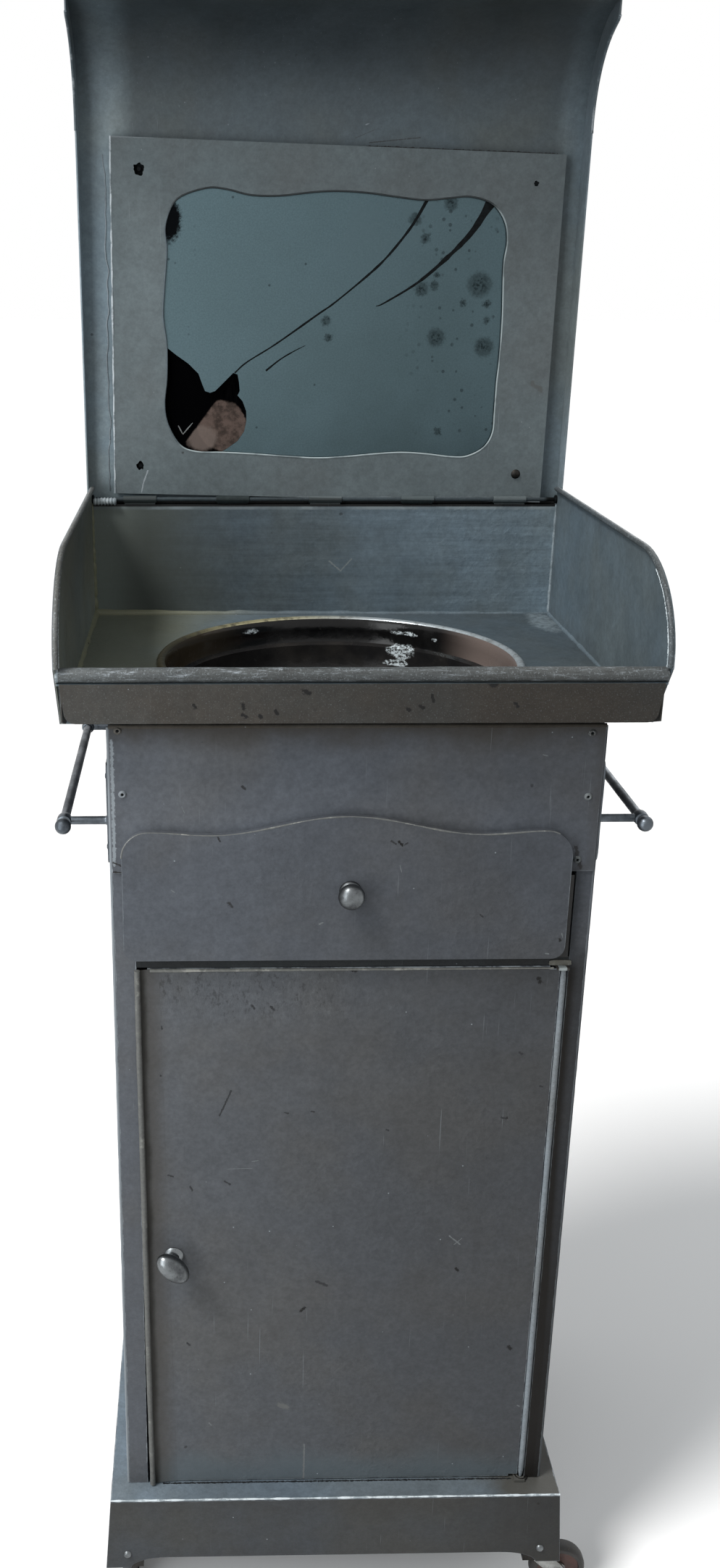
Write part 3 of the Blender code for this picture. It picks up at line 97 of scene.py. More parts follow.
class ShaderTree:
    """Short calls for the nodes of one shader tree."""

    def __init__(self, tree):
        self.tree = tree
        tree.nodes.clear()

    def node(self, kind, settings=None, **inputs):
        made = self.tree.nodes.new(kind)
        for key, value in (settings or {}).items():
            setattr(made, key, value)
        self.fill(made, **inputs)
        return made

    def put(self, socket, value):
        if isinstance(value, bpy.types.NodeSocket):
            self.tree.links.new(value, socket)
        else:
            socket.default_value = value

    def fill(self, made, *values, **named):
        """Set the first sockets of a node in order, and others by name."""
        for socket, value in zip(made.inputs, values):
            self.put(socket, value)
        for key, value in named.items():
            self.put(made.inputs[key.replace("_", " ")], value)
        return made.outputs

    def math(self, operation, first, second=0.0, third=0.0):
        made = self.node("ShaderNodeMath", {"operation": operation})
        return self.fill(made, first, second, third)[0]

    def vector(self, operation, *values, **named):
        made = self.node("ShaderNodeVectorMath", {"operation": operation})
        return self.fill(made, *values, **named)

    def rise(self, value, low, high, start=0.0, end=1.0, kind="SMOOTHSTEP"):
        made = self.node("ShaderNodeMapRange", {"interpolation_type": kind})
        return self.fill(made, value, low, high, start, end)[0]

    def shown(self, hidden, pale):
        """One shader for bounced light, and a pale one for camera, glossy and transmission rays."""
        rays = self.node("ShaderNodeLightPath").outputs
        seen = self.math("MAXIMUM", rays["Is Camera Ray"], rays["Is Glossy Ray"])
        seen = self.math("MAXIMUM", seen, rays["Is Transmission Ray"])
        return self.fill(self.node("ShaderNodeMixShader"), seen, hidden, pale)[0]


class Graph(ShaderTree):
    """One procedural material, with short calls for the nodes that it is made of."""

    def __init__(self, name):
        self.material = bpy.data.materials.new(name)
        self.material.use_nodes = True
        super().__init__(self.material.node_tree)
        self.shader = self.node("ShaderNodeBsdfPrincipled")
        self.node("ShaderNodeOutputMaterial", Surface=self.shader.outputs[0])
        self.place = self.node("ShaderNodeTexCoord").outputs["Object"]
        self.axes = self.node("ShaderNodeSeparateXYZ", Vector=self.place).outputs
        self.x, self.y, self.z = self.axes

    def plus(self, first, second):
        return self.math("ADD", first, second)

    def minus(self, first, second):
        return self.math("SUBTRACT", first, second)

    def larger(self, first, second):
        return self.math("MAXIMUM", first, second)

    def times(self, *factors):
        product = factors[0]
        for factor in factors[1:]:
            product = self.math("MULTIPLY", product, factor)
        return product

    def mix(self, factor, first, second):
        made = self.node("ShaderNodeMix", {"data_type": "RGBA"})
        for index, value in ((0, factor), (6, first), (7, second)):
            self.put(made.inputs[index], value)
        return made.outputs[2]

    def scaled(self, colour, amount):
        return self.vector("SCALE", colour[:3] if isinstance(colour, tuple) else colour, Scale=amount)[0]

    def noise(self, scale, detail=3.0, rough=0.55, vector=None):
        return self.node("ShaderNodeTexNoise", Vector=vector or self.place, Scale=scale, Detail=detail,
                         Roughness=rough).outputs[0]

    def sway(self, amount, *look):
        """Noise about zero."""
        return self.times(self.minus(self.noise(*look), 0.5), amount)

    def cloudy(self, axis, amount, scale, low, high, most):
        """Rise along an axis, with a cloudy border."""
        return self.rise(self.plus(axis, self.sway(amount, scale, 4.0)), low, high, 0.0, most)

    def mapped(self, turn, stretch, shift=(0, 0, 0)):
        return self.node("ShaderNodeMapping", Vector=self.place, Rotation=turn, Scale=stretch,
                         Location=shift).outputs[0]

    def cells(self, scale):
        made = self.node("ShaderNodeTexVoronoi", Vector=self.place, Scale=scale).outputs
        chance = self.node("ShaderNodeSeparateColor", Color=made["Color"])
        return made["Distance"], chance.outputs[0]

    def bump(self, height, strength, distance):
        return self.node("ShaderNodeBump", Strength=strength, Distance=distance, Height=height).outputs[0]

    def edge(self, box, axes):
        """Distance to the nearest edge of a box along the given axes."""
        low, high = box
        nearest = None
        for axis in axes:
            near = self.minus(self.axes[axis], low[axis])
            far = self.minus(high[axis], self.axes[axis])
            both = self.math("MINIMUM", near, far)
            nearest = both if nearest is None else self.math("MINIMUM", nearest, both)
        return nearest

    def from_point(self, point, stretch=(1, 1, 1)):
        """Distance from a point, with each axis stretched."""
        shifted = self.vector("SUBTRACT", self.place, point)[0]
        return self.vector("LENGTH", self.vector("MULTIPLY", shifted, stretch)[0])["Value"]

    def from_line(self, start, end):
        """Distance from a straight stroke between two points."""
        run = Vector(end) - Vector(start)
        shifted = self.vector("SUBTRACT", self.place, start)[0]
        along_run = self.vector("DOT_PRODUCT", shifted, run / run.length_squared)["Value"]
        share = self.node("ShaderNodeClamp", Value=along_run).outputs[0]
        return self.vector("DISTANCE", shifted, self.scaled(run, share))["Value"]

    def finish(self, **inputs):
        self.fill(self.shader, **inputs)
        return self.material


PAINT = tone(78, 82, 88)
PAINT_WARM = tone(79, 81, 84)
DOOR_PAINT = tone(79, 82, 86)
DOOR_WARM = tone(80, 81, 82)
TRAY = tone(86, 100, 109)
TRAY_WARM = tone(83, 93, 97)
BLUE = tone(80, 91, 97)
BLUE_WARM = tone(80, 87, 88)
WORN = tone(148, 156, 161)
CHIP = tone(22, 21, 20)
GRIME = tone(48, 44, 38)


def paint(name, colour=PAINT, warm=PAINT_WARM, box=None, axes=(), wear=0.0012, wear_amount=0.8, grime=0.0,
          grime_amount=0.5, chips=0.5, speckle=0.0, blister=0.3, rough=0.5, gloss=0.35, strokes=(),
          layers=(), relief=None):
    """Worn paint: blotches, grain, chips, scratches, bright edges and dirt beside them."""
    g = Graph(name)
    broad = g.noise(3.1, 4.0)
    cloud = g.noise(19.0, 6.0, 0.62)
    mottle = g.noise(85.0, 4.0, 0.62)
    peel = g.noise(230.0, 3.0, 0.65)
    grain = g.noise(520.0, 3.0, 0.6)
    base = g.mix(g.rise(g.noise(6.5, 4.0, 0.6), 0.40, 0.66), colour, warm)
    value = g.times(g.rise(broad, 0.28, 0.72, 0.93, 1.07), g.rise(cloud, 0.25, 0.75, 0.90, 1.10),
                    g.rise(mottle, 0.3, 0.7, 0.93, 1.07), g.rise(peel, 0.3, 0.7, 0.91, 1.09),
                    g.rise(grain, 0.2, 0.8, 0.93, 1.07))
    base = g.scaled(base, value)
    for layer in layers:
        base = layer(g, base)
    if speckle:
        spots = g.rise(g.noise(780.0, 2.0, 0.75), 0.56, 0.70)
        base = g.mix(g.times(spots, speckle), base, WORN)
        pits = g.rise(g.noise(610.0, 2.0, 0.75, g.mapped((0, 0, 0.7), (1, 1, 1), (3, 1, 2))), 0.60, 0.70)
        base = g.mix(g.times(pits, speckle), base, CHIP)
    distance, chance = g.cells(62.0)
    ragged = g.plus(distance, g.sway(0.16, 330.0))
    chip = g.times(g.rise(ragged, 0.10, 0.06), g.rise(chance, 0.90, 0.91), g.rise(g.noise(5.0), 0.44, 0.56))
    base = g.mix(g.times(chip, min(1.0, 1.6 * chips)), base, CHIP)
    near, luck = g.cells(135.0)
    nick = g.times(g.rise(near, 0.10, 0.05), g.rise(luck, 0.945, 0.95))
    base = g.mix(g.times(nick, chips), base, WORN)
    fine = g.rise(g.noise(1.0, 1.0, 0.5, g.mapped((0.2, 0.35, 0.1), (640, 640, 13))), 0.735, 0.80)
    cross = g.rise(g.noise(1.0, 1.0, 0.5, g.mapped((0.1, 1.2, 0.3), (760, 760, 17))), 0.745, 0.80)
    rubbed = g.rise(g.noise(7.0, 2.0), 0.46, 0.62)
    scratch = g.times(g.larger(fine, cross), rubbed)
    base = g.mix(g.times(scratch, 0.22), base, WORN)
    uneven = g.minus(g.noise(420.0, 4.0, 0.75), 0.5)
    for start, end, width, stroke_tone in strokes:
        distance = g.math("MULTIPLY_ADD", uneven, 3.0 * width, g.from_line(start, end))
        base = g.mix(g.rise(distance, width, 0.4 * width), base, stroke_tone)
    roughness = g.rise(cloud, 0.3, 0.7, rough - 0.08, rough + 0.10)
    if axes:
        distance = g.edge(box, axes)
        if grime:
            ragged = g.plus(distance, g.times(g.minus(cloud, 0.5), 1.5 * grime))
            dirt = g.rise(ragged, grime, 0.0)
            base = g.mix(g.times(dirt, grime_amount), base, GRIME)
        ragged = g.plus(distance, g.sway(3.2 * wear, 95.0, 4.0, 0.7))
        base = g.mix(g.times(g.rise(ragged, wear, 0.3 * wear), wear_amount), base, WORN)
    bumps = g.rise(g.noise(150.0, 3.0), 0.45, 0.75)
    blisters = g.times(bumps, g.rise(g.noise(8.0, 2.0), 0.45, 0.62), blister)
    sunk = g.plus(g.times(chip, 0.6), g.times(scratch, 0.2))
    height = g.plus(g.plus(g.times(grain, 0.18), blisters), g.minus(g.times(broad, 0.8), sunk))
    height = g.math("MULTIPLY_ADD", peel, 0.35, height)
    if relief:
        height = g.plus(height, relief(g))
    return g.finish(Base_Color=base, Roughness=roughness, Specular_IOR_Level=gloss,
                    Normal=g.bump(height, 0.30, 0.0009))


def painted_falloff(left, right, reach=0.17):
    """Layer of painted light: the colour grows lighter or darker evenly from one side to the other."""
    def layer(g, base):
        return g.scaled(base, g.rise(g.x, -reach, reach, left, right))

    return layer


DARK = tone(44, 45, 47)
BLACK = tone(18, 18, 18)
PALE = tone(103, 107, 109)


def marks_on(face, marks):
    """Strokes on a front face from rows of X, Z, X, Z, width and tone."""
    return [((x, face, z), (end_x, face, end_z), (0.9 if colour == PALE else 1.35) * width, colour)
            for x, z, end_x, end_z, width, colour in marks]


def worn_edge(name, colour, amount=0.5, bright=WORN):
    """Rubbed edge of a sheet: bright patches over the paint."""
    g = Graph(name)
    patch = g.rise(g.noise(75.0, 5.0, 0.7), 0.66 - 0.32 * amount, 0.80 - 0.32 * amount)
    base = g.mix(patch, g.scaled(colour, g.rise(g.noise(400.0), 0.2, 0.8, 0.8, 1.2)), bright)
    return g.finish(Base_Color=base, Roughness=g.rise(patch, 0.0, 1.0, 0.50, 0.36), Specular_IOR_Level=0.4,
                    Normal=g.bump(g.noise(300.0, 3.0), 0.3, 0.0005))


def metal(name, bright, dull, rough=0.32, dirt=0.5):
    """Tarnished bare metal: dull patches, fine scratches and dark pits."""
    g = Graph(name)
    fine = 420.0
    patch = g.noise(38.0, 5.0, 0.65)
    base = g.mix(g.rise(patch, 0.36, 0.66), bright, dull)
    scratch = g.rise(g.noise(1.0, 2.0, 0.6, g.mapped((0.5, 0.3, 0.2), (900, 900, 60))), 0.5, 0.75)
    base = g.mix(g.times(scratch, 0.35), base, bright)
    pits = g.rise(g.noise(fine, 3.0, 0.7), 0.58, 0.72)
    base = g.mix(g.times(pits, dirt), base, CHIP)
    roughness = g.plus(g.rise(patch, 0.3, 0.7, rough - 0.07, rough + 0.16), g.times(pits, 0.2))
    height = g.minus(g.noise(fine, 3.0, 0.6), g.times(pits, 0.5))
    return g.finish(Base_Color=base, Roughness=roughness, Metallic=1.0, Normal=g.bump(height, 0.25, 0.0004))


# Painted glints on the enamel: centre, stretch of the distance and size of each.
PAINTED_GLINTS = (
    ((0.0662, 0.1088, 0.8130), (0.75, 0.75, 1.5), 0.0105),
    ((0.0609, 0.1104, 0.8017), (0.7, 0.7, 2.6), 0.0085),
    ((-0.0691, 0.1147, 0.8298), (0.5, 0.5, 2.0), 0.0045),
    ((0.0702, 0.1138, 0.8278), (0.35, 0.35, 2.4), 0.0050),
    ((0.0939, 0.0964, 0.8261), (1, 1, 1.6), 0.0030))


def enamel(name, neck=False):
    """Dark glossy enamel with painted glints; the neck has a painted reflection, brown left, pale right."""
    g = Graph(name)
    cloud = g.noise(22.0, 5.0, 0.6)
    base = g.mix(g.rise(cloud, 0.35, 0.7), tone(24, 24, 25), tone(44, 42, 40))
    if neck:
        base = g.mix(g.rise(cloud, 0.35, 0.7), tone(9, 9, 10), tone(20, 20, 20))
        # Painted reflection on the neck: brown on the left, pale on the right.
        base = g.mix(g.rise(g.x, -0.070, -0.125, 0.0, 0.9), base, tone(66, 57, 44))
        base = g.mix(g.rise(g.x, 0.095, 0.132, 0.0, 0.9), base, tone(106, 95, 90))
    ring = g.rise(g.noise(80.0, 4.0, 0.7), 0.62, 0.76)
    base = g.mix(g.times(ring, 0.22), base, tone(84, 82, 78))
    flecks = g.rise(g.noise(300.0, 5.0, 0.8, g.mapped((0, 0.3, 0), (1, 1, 1.6))), 0.44, 0.56)
    uneven = g.minus(g.noise(95.0, 4.0, 0.7), 0.5)
    for point, stretch, size in PAINTED_GLINTS:
        distance = g.math("MULTIPLY_ADD", uneven, 2.0 * size, g.from_point(point, stretch))
        mark = g.rise(distance, size, 0.7 * size)
        base = g.mix(g.times(mark, flecks), base, tone(196, 206, 210))
    roughness = g.rise(g.noise(46.0, 5.0, 0.65), 0.35, 0.7, 0.10, 0.30)
    return g.finish(Base_Color=base, Roughness=roughness, Specular_IOR_Level=0.22,
                    Normal=g.bump(g.noise(120.0, 4.0, 0.6), 0.25, 0.0007))


def rim_material(name):
    """Worn metal rim of the basin: painted yellowish highlight on the left, dark at the far left."""
    g = Graph(name)
    base = g.mix(g.rise(g.x, -0.06, 0.05), tone(168, 162, 128), tone(160, 168, 172))
    base = g.mix(g.rise(g.x, -0.080, -0.138), base, tone(76, 71, 53))
    worn = g.rise(g.noise(110.0, 5.0, 0.7), 0.46, 0.66)
    base = g.mix(g.times(worn, g.rise(g.x, -0.06, 0.05, 0.8, 0.6)), base, tone(62, 59, 52))
    return g.finish(Base_Color=base, Roughness=g.rise(worn, 0.0, 1.0, 0.28, 0.48), Metallic=0.35,
                    Normal=g.bump(g.noise(260.0, 3.0), 0.3, 0.0004))


MIRROR_SPOTS = (
    (0.1327, 1.1253, 0.0105), (0.0964, 1.0805, 0.0080), (0.1396, 1.0725, 0.0085),
    (0.1017, 0.9983, 0.0036), (0.0816, 1.1215, 0.0062), (0.1042, 1.1918, 0.0060),
    (0.0828, 1.1634, 0.0042), (0.0925, 1.1245, 0.0040), (-0.0023, 1.0944, 0.0042),
    (-0.0001, 1.0802, 0.0036), (0.0735, 1.1790, 0.0055), (0.1190, 1.1100, 0.0032),
    (0.1400, 1.1090, 0.0036), (0.1405, 1.0950, 0.0028), (0.0950, 1.1330, 0.0026))


def mirror_material(name):
    """Fogged silvering with grey age spots, foxed dots on the right and a black patch at the upper left."""
    g = Graph(name)
    cloud = g.noise(9.0, 5.0, 0.6)
    base = g.mix(g.rise(cloud, 0.35, 0.68), tone(80, 98, 104), tone(76, 93, 98))
    # Painted light, lighter on the left and darker to the right. Also a little darker towards the foot.
    base = g.scaled(base, g.rise(g.x, -0.15, 0.16, 1.10, 0.80))
    base = g.scaled(base, g.rise(g.z, 0.97, 1.06, 0.90, 1.0))
    base = g.scaled(base, g.rise(g.noise(700.0, 2.0, 0.6), 0.2, 0.8, 0.90, 1.10))
    ragged = g.sway(0.009, 420.0, 4.0, 0.75)
    blots = g.rise(g.noise(380.0, 4.0, 0.7), 0.42, 0.62)
    for x, z, radius in MIRROR_SPOTS:
        distance = g.plus(g.from_point((x, 0, z), (1, 0, 1)), ragged)
        base = g.mix(g.rise(distance, 1.25 * radius, 0.75 * radius, 0.0, 0.70), base, tone(46, 57, 60))
        core = g.times(g.rise(distance, 0.95 * radius, 0.30 * radius, 0.0, 0.9), blots)
        base = g.mix(core, base, tone(24, 31, 33))
    near, luck = g.cells(170.0)
    foxed = g.times(g.rise(near, 0.34, 0.20), g.rise(luck, 0.66, 0.67), g.rise(g.x, 0.05, 0.11),
                    g.rise(g.noise(24.0, 2.0), 0.44, 0.52))
    few, chance = g.cells(95.0)
    dots = g.times(g.rise(few, 0.13, 0.07), g.rise(chance, 0.90, 0.91))
    left = g.times(g.rise(near, 0.24, 0.12), g.rise(luck, 0.80, 0.81), g.rise(g.x, -0.11, -0.135))
    spotted = g.larger(g.larger(foxed, left), dots)
    base = g.mix(g.times(spotted, 0.62), base, tone(36, 44, 47))
    patch = g.plus(g.from_point((-0.1405, 0, 1.1770), (1.0, 0, 0.60)), g.times(ragged, 1.2))
    base = g.mix(g.rise(patch, 0.0125, 0.0080), base, tone(10, 12, 14))
    roughness = g.rise(cloud, 0.3, 0.7, 0.26, 0.36)
    return g.finish(Base_Color=base, Roughness=roughness, Metallic=1.0,
                    Normal=g.bump(g.noise(30.0, 2.0), 0.05, 0.0005))


BROWN_DISC = (-0.0945, 1.0030)
BROWN_DISC_RADIUS = 0.0230


def backing_material(name):
    """Black backing board with a blotchy brown disc behind the broken corner."""
    g = Graph(name)
    fibre = g.noise(1.0, 4.0, 0.6, g.mapped((0, 0.4, 0), (420, 420, 60)))
    base = g.mix(g.rise(fibre, 0.3, 0.75), tone(2, 2, 3), tone(7, 7, 8))
    ragged = g.sway(0.006, 110.0, 4.0, 0.65)
    disc_distance = g.plus(g.from_point((BROWN_DISC[0], 0, BROWN_DISC[1]), (1, 0, 1)), ragged)
    brown = g.mix(g.rise(g.noise(90.0, 5.0, 0.7), 0.38, 0.62), tone(62, 54, 50), tone(98, 84, 78))
    base = g.mix(g.rise(disc_distance, BROWN_DISC_RADIUS, BROWN_DISC_RADIUS - 0.002), base, brown)
    corner = (BROWN_DISC[0] - 0.0185, 0, BROWN_DISC[1] - 0.0110)
    pale = g.plus(g.from_point(corner, (0.8, 0, 1)), g.times(ragged, 1.6))
    base = g.mix(g.rise(pale, 0.0140, 0.0085, 0.0, 0.75), base, tone(118, 106, 100))
    slant = g.plus(g.math("MULTIPLY_ADD", g.x, 0.794, 0.7034), g.times(g.z, -0.607))
    base = g.mix(g.rise(g.plus(slant, g.times(ragged, 0.4)), 0.0028, 0.0012), base, tone(4, 4, 5))
    return g.finish(Base_Color=base, Roughness=0.9, Specular_IOR_Level=0.0,
                    Normal=g.bump(fibre, 0.3, 0.0006))


def wheel_material(name, colour, other, rough):
    """Old rubber or fibre of a caster wheel, dusty and scuffed."""
    g = Graph(name)
    base = g.mix(g.rise(g.noise(55.0, 5.0, 0.65), 0.35, 0.68), colour, other)
    dust = g.rise(g.noise(240.0, 3.0, 0.7), 0.55, 0.75)
    base = g.mix(g.times(dust, 0.35), base, tone(120, 112, 100))
    return g.finish(Base_Color=base, Roughness=g.rise(dust, 0.0, 1.0, rough, rough + 0.2),
                    Normal=g.bump(g.noise(300.0, 4.0), 0.3, 0.0006))


def link(name, shape, materials, smooth=40.0):
    """Turn a bmesh into an object of the scene, with smooth faces up to an angle."""
    bmesh.ops.recalc_face_normals(shape, faces=shape.faces)
    mesh = bpy.data.meshes.new(name)
    shape.to_mesh(mesh)
    shape.free()
    for material in materials if isinstance(materials, (list, tuple)) else [materials]:
        mesh.materials.append(material)
    if smooth:
        mesh.shade_smooth()
        mesh.set_sharp_from_angle(angle=math.radians(smooth))
    item = bpy.data.objects.new(name, mesh)
    bpy.context.scene.collection.objects.link(item)
    return item


def ride(item, body, slot, *nodes):
    """Let a piece move with a body, in place of CAD nodes where some are named."""
    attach(item, body)
    if nodes:
        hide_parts(*nodes)
    return item


# Edges at least this sharp, in degrees, are rounded
ROUNDED_FROM = 35.0


def rounded(item, width, segments=3, worn=None):
    """Round a piece's sharp edges, and give the rounded strips their own finish."""
    bevel = item.modifiers.new("rounded", "BEVEL")
    bevel.width = width
    bevel.segments = segments
    bevel.limit_method = "ANGLE"
    bevel.angle_limit = math.radians(ROUNDED_FROM)
    bevel.use_clamp_overlap = True
    bevel.harden_normals = True
    if worn is not None:
        item.data.materials.append(worn)
        bevel.material = len(item.data.materials) - 1
    return item


TURNS = {"X": Matrix.Rotation(math.pi / 2, 4, "Y"), "Y": Matrix.Rotation(-math.pi / 2, 4, "X"),
         "Z": Matrix.Identity(4)}


def spin_into(shape, profile, axis, centre, steps=48, material=0, ring=False):
    """Spin a profile of (radius, height) points about an axis into a bmesh."""
    matrix = Matrix.Translation(centre) @ TURNS[axis]
    rows = []
    for radius, height in profile:
        if radius < 1e-7:
            rows.append([shape.verts.new(matrix @ Vector((0, 0, height)))])
            continue
        row = []
        for step in range(steps):
            angle = math.tau * step / steps
            point = Vector((radius * math.cos(angle), radius * math.sin(angle), height))
            row.append(shape.verts.new(matrix @ point))
        rows.append(row)
    pairs = list(zip(rows, rows[1:]))
    if ring:
        pairs.append((rows[-1], rows[0]))
    for low, high in pairs:
        for step in range(steps):
            after = (step + 1) % steps
            corners = []
            for row, place in ((low, step), (low, after), (high, after), (high, step)):
                vert = row[place % len(row)]
                if vert not in corners:
                    corners.append(vert)
            if len(corners) > 2:
                face = shape.faces.new(corners)
                middle = face.calc_center_median()
                face.material_index = material(middle) if callable(material) else material
    return shape


def quads_into(shape, low, high):
    """Quads between two rows of points."""
    return [shape.faces.new((low[i], low[i + 1], high[i + 1], high[i])) for i in range(len(low) - 1)]


def skin_into(shape, rows, material=0):
    """Closed skin over rings of points, with a cap at each end."""
    made = []
    for low, high in zip(rows, rows[1:]):
        made += quads_into(shape, low + low[:1], high + high[:1])
    made += [shape.faces.new(rows[0]), shape.faces.new(rows[-1])]
    for face in made:
        face.material_index = material
    return shape


def direction(points, index):
    """Way of a line at one of its points."""
    return points[min(index + 1, len(points) - 1)] - points[max(index - 1, 0)]


def sweep_into(shape, points, radius, sides=16, material=0):
    """Round bar along a line of points; radius may follow the share of the way along."""
    points = [Vector(point) for point in points]
    tangents = [direction(points, index).normalized() for index in range(len(points))]
    first = Vector((0, 0, 1)) if abs(tangents[0].z) < 0.9 else Vector((1, 0, 0))
    normal = (first - tangents[0] * first.dot(tangents[0])).normalized()
    rows = []
    for index, (middle, tangent) in enumerate(zip(points, tangents)):
        normal = (normal - tangent * normal.dot(tangent)).normalized()
        side = tangent.cross(normal)
        size = radius(index / (len(points) - 1)) if callable(radius) else radius
        row = []
        for step in range(sides):
            angle = math.tau * step / sides
            row.append(shape.verts.new(middle + (normal * math.cos(angle) + side * math.sin(angle)) * size))
        rows.append(row)
    return skin_into(shape, rows, material)


def slab_into(shape, loops, low, high, axis="Y"):
    """Plate between two planes: the first loop is its outline, the others are holes in it."""
    def place(first, second, depth):
        return {"X": (depth, first, second), "Y": (first, depth, second), "Z": (first, second, depth)}[axis]

    edges = []
    for loop in loops:
        verts = [shape.verts.new(place(*point, low)) for point in loop]
        edges += [shape.edges.new((verts[i], verts[(i + 1) % len(verts)])) for i in range(len(verts))]
    made = bmesh.ops.triangle_fill(shape, use_beauty=True, edges=edges)
    faces = [part for part in made["geom"] if isinstance(part, bmesh.types.BMFace)]
    pushed = bmesh.ops.extrude_face_region(shape, geom=faces)
    moved = [part for part in pushed["geom"] if isinstance(part, bmesh.types.BMVert)]
    bmesh.ops.translate(shape, verts=moved, vec=Vector(place(0, 0, high - low)))
    return shape


def bar(name, points, radius, sides, material, body="stand", slot="grey_paint", *nodes):
    """Round bar as a piece of its own."""
    return ride(link(name, sweep_into(bmesh.new(), points, radius, sides), material), body, slot, *nodes)


def plate(name, outline, low, high, material, body="stand", slot="grey_paint", *nodes, axis="Y"):
    """Flat plate as a piece of its own."""
    return ride(link(name, slab_into(bmesh.new(), [outline], low, high, axis), material, CRISP), body, slot,
                *nodes)


def along(start, end, count):
    """Even steps from one number to another, both ends included."""
    return [start + (end - start) * step / count for step in range(count + 1)]


def wobble(*place):
    """Smooth noise at a place."""
    return noise.noise(Vector(place))


def wavering(size, amount, rate, *seed):
    """Radius that wavers along a bar."""
    return lambda share: size + amount * wobble(share * rate, *seed)


def arc(centre, radii, start, end, steps):
    """Points on an ellipse between two angles in degrees, both ends included."""
    points = []
    for step in range(steps + 1):
        angle = math.radians(start + (end - start) * step / steps)
        points.append((centre[0] + radii[0] * math.cos(angle), centre[1] + radii[1] * math.sin(angle)))
    return points


def between(before, here, after, last, share):
    """Point of a smooth curve between the middle two of four points."""
    bend = 2 * before - 5 * here + 4 * after - last
    twist = 3 * here - before - 3 * after + last
    return 0.5 * (2 * here + (after - before) * share + bend * share ** 2 + twist * share ** 3)


def smooth_loop(points, steps=5):
    """Closed curve through a ring of points."""
    made = []
    count = len(points)
    for index in range(count):
        four = [Vector(points[(index + shift) % count]) for shift in (-1, 0, 1, 2)]
        made += [tuple(between(*four, step / steps)) for step in range(steps)]
    return made


RING_STEPS = 28


def ragged_ring(x, z, radius, unevenness, seed):
    """Uneven ring of points round a centre."""
    points = []
    for step in range(RING_STEPS):
        angle = math.tau * step / RING_STEPS
        size = radius * (1 + unevenness * wobble(1.7 * math.cos(angle), 1.7 * math.sin(angle), seed))
        points.append((x + size * math.cos(angle), z + size * math.sin(angle)))
    return points


def ripple(point, size, depth):
    """Gentle unevenness at a point, from smooth noise."""
    return noise.noise(Vector(point) / size) * depth


# Finishes
bare = metal("metal_bare", tone(150, 152, 150), tone(96, 96, 94), 0.34)
knob_metal = metal("metal_knob", tone(112, 116, 118), tone(64, 66, 68), 0.32)
rail_metal = metal("metal_rail", tone(92, 98, 104), tone(62, 67, 72), 0.38, dirt=0.3)
dark_metal = metal("metal_dark", tone(52, 51, 49), tone(30, 28, 26), 0.48)
edge_light = worn_edge("edge_light", PAINT, 0.75)
edge_faint = worn_edge("edge_faint", PAINT, 0.30)
edge_blue = worn_edge("edge_blue", BLUE, 0.55)
edge_white = worn_edge("edge_white", tone(138, 148, 153), 0.80, tone(196, 205, 209))
edge_door = worn_edge("edge_door", tone(110, 111, 107), 0.45, tone(160, 160, 153))


# Lid
def lid_line(steps):
    """Inner face of the lid from its hinge flange up the panel and round the roll, in Y and Z."""
    flange_top = LID_LOW.z + SHEET
    start = HINGE_Y + 0.0040
    panel = [(LID_Y, z) for z in along(flange_top, LID_FLAT_TOP, 24)[:-1]]
    roll = arc((LID_Y - LID_ROLL_DROP, LID_FLAT_TOP), (LID_ROLL_DROP, LID_ROLL_RUN), 0, 90, steps)
    return [(start, flange_top)] + panel + roll


def lid_light_and_shade(g, base):
    """Painted light beside the lid's cheeks, and painted shade under the roll, growing towards its nose."""
    base = g.scaled(base, g.rise(g.x, -0.165, -0.190, 1.0, 2.7))
    base = g.scaled(base, g.rise(g.x, 0.190, 0.203, 1.0, 1.75))
    return g.scaled(base, g.rise(g.z, 1.235, 1.320, 1.0, 0.40))


LID_STROKES = [((0.0808, LID_Y, 1.2673), (0.0286, LID_Y, 1.2545), 0.0006, tone(132, 140, 146)),
               ((0.0322, LID_Y, 1.2403), (0.0756, LID_Y, 1.2445), 0.0006, tone(54, 58, 60)),
               ((0.0200, LID_Y, 1.2440), (0.0600, LID_Y, 1.2600), 0.0004, tone(66, 72, 75)),
               # The last, black stroke is a painted shadow along the top edge of the mirror frame.
               ((0.0300, LID_Y, 1.2374), (0.1950, LID_Y, 1.2320), 0.0010, tone(16, 18, 19))]


def lid_shell():
    """Bent sheet of the lid with a slightly uneven panel."""
    line = [Vector(point) for point in lid_line(36)]
    last = len(line) - 1
    columns = 56
    shape = bmesh.new()
    sides = []
    for offset in (0.0, SHEET):
        rows = []
        for index, point in enumerate(line):
            run = direction(line, index)
            normal = Vector((1, -1)) if index == 1 else Vector((run.y, -run.x)).normalized()
            rim = min(index / 6, (last - index) / 6, 1.0)
            row = []
            for column, x in enumerate(along(-LID_HALF, LID_HALF, columns)):
                inset = min(column, columns - column) / 4
                sway = ripple((x, point.x, point.y), 0.07, 0.0007) * min(rim, inset, 1.0)
                place = point + normal * (offset + (sway if index > 1 else 0.0))
                row.append(shape.verts.new((x, place.x, place.y)))
            rows.append(row)
        sides.append(rows)
    for rows in sides:
        for low, high in zip(rows, rows[1:]):
            quads_into(shape, low, high)
    inner, outer = sides
    for row in (0, last):
        quads_into(shape, inner[row], outer[row])
    for column in (0, columns):
        quads_into(shape, [row[column] for row in inner], [row[column] for row in outer])
    material = paint("paint_lid", BLUE, BLUE_WARM, layers=[lid_light_and_shade], strokes=LID_STROKES, chips=0.35,
                     rough=0.52)
    return ride(link("lid_shell", shape, material, CRISP), "lid", "grey_paint", "lid_sheet")


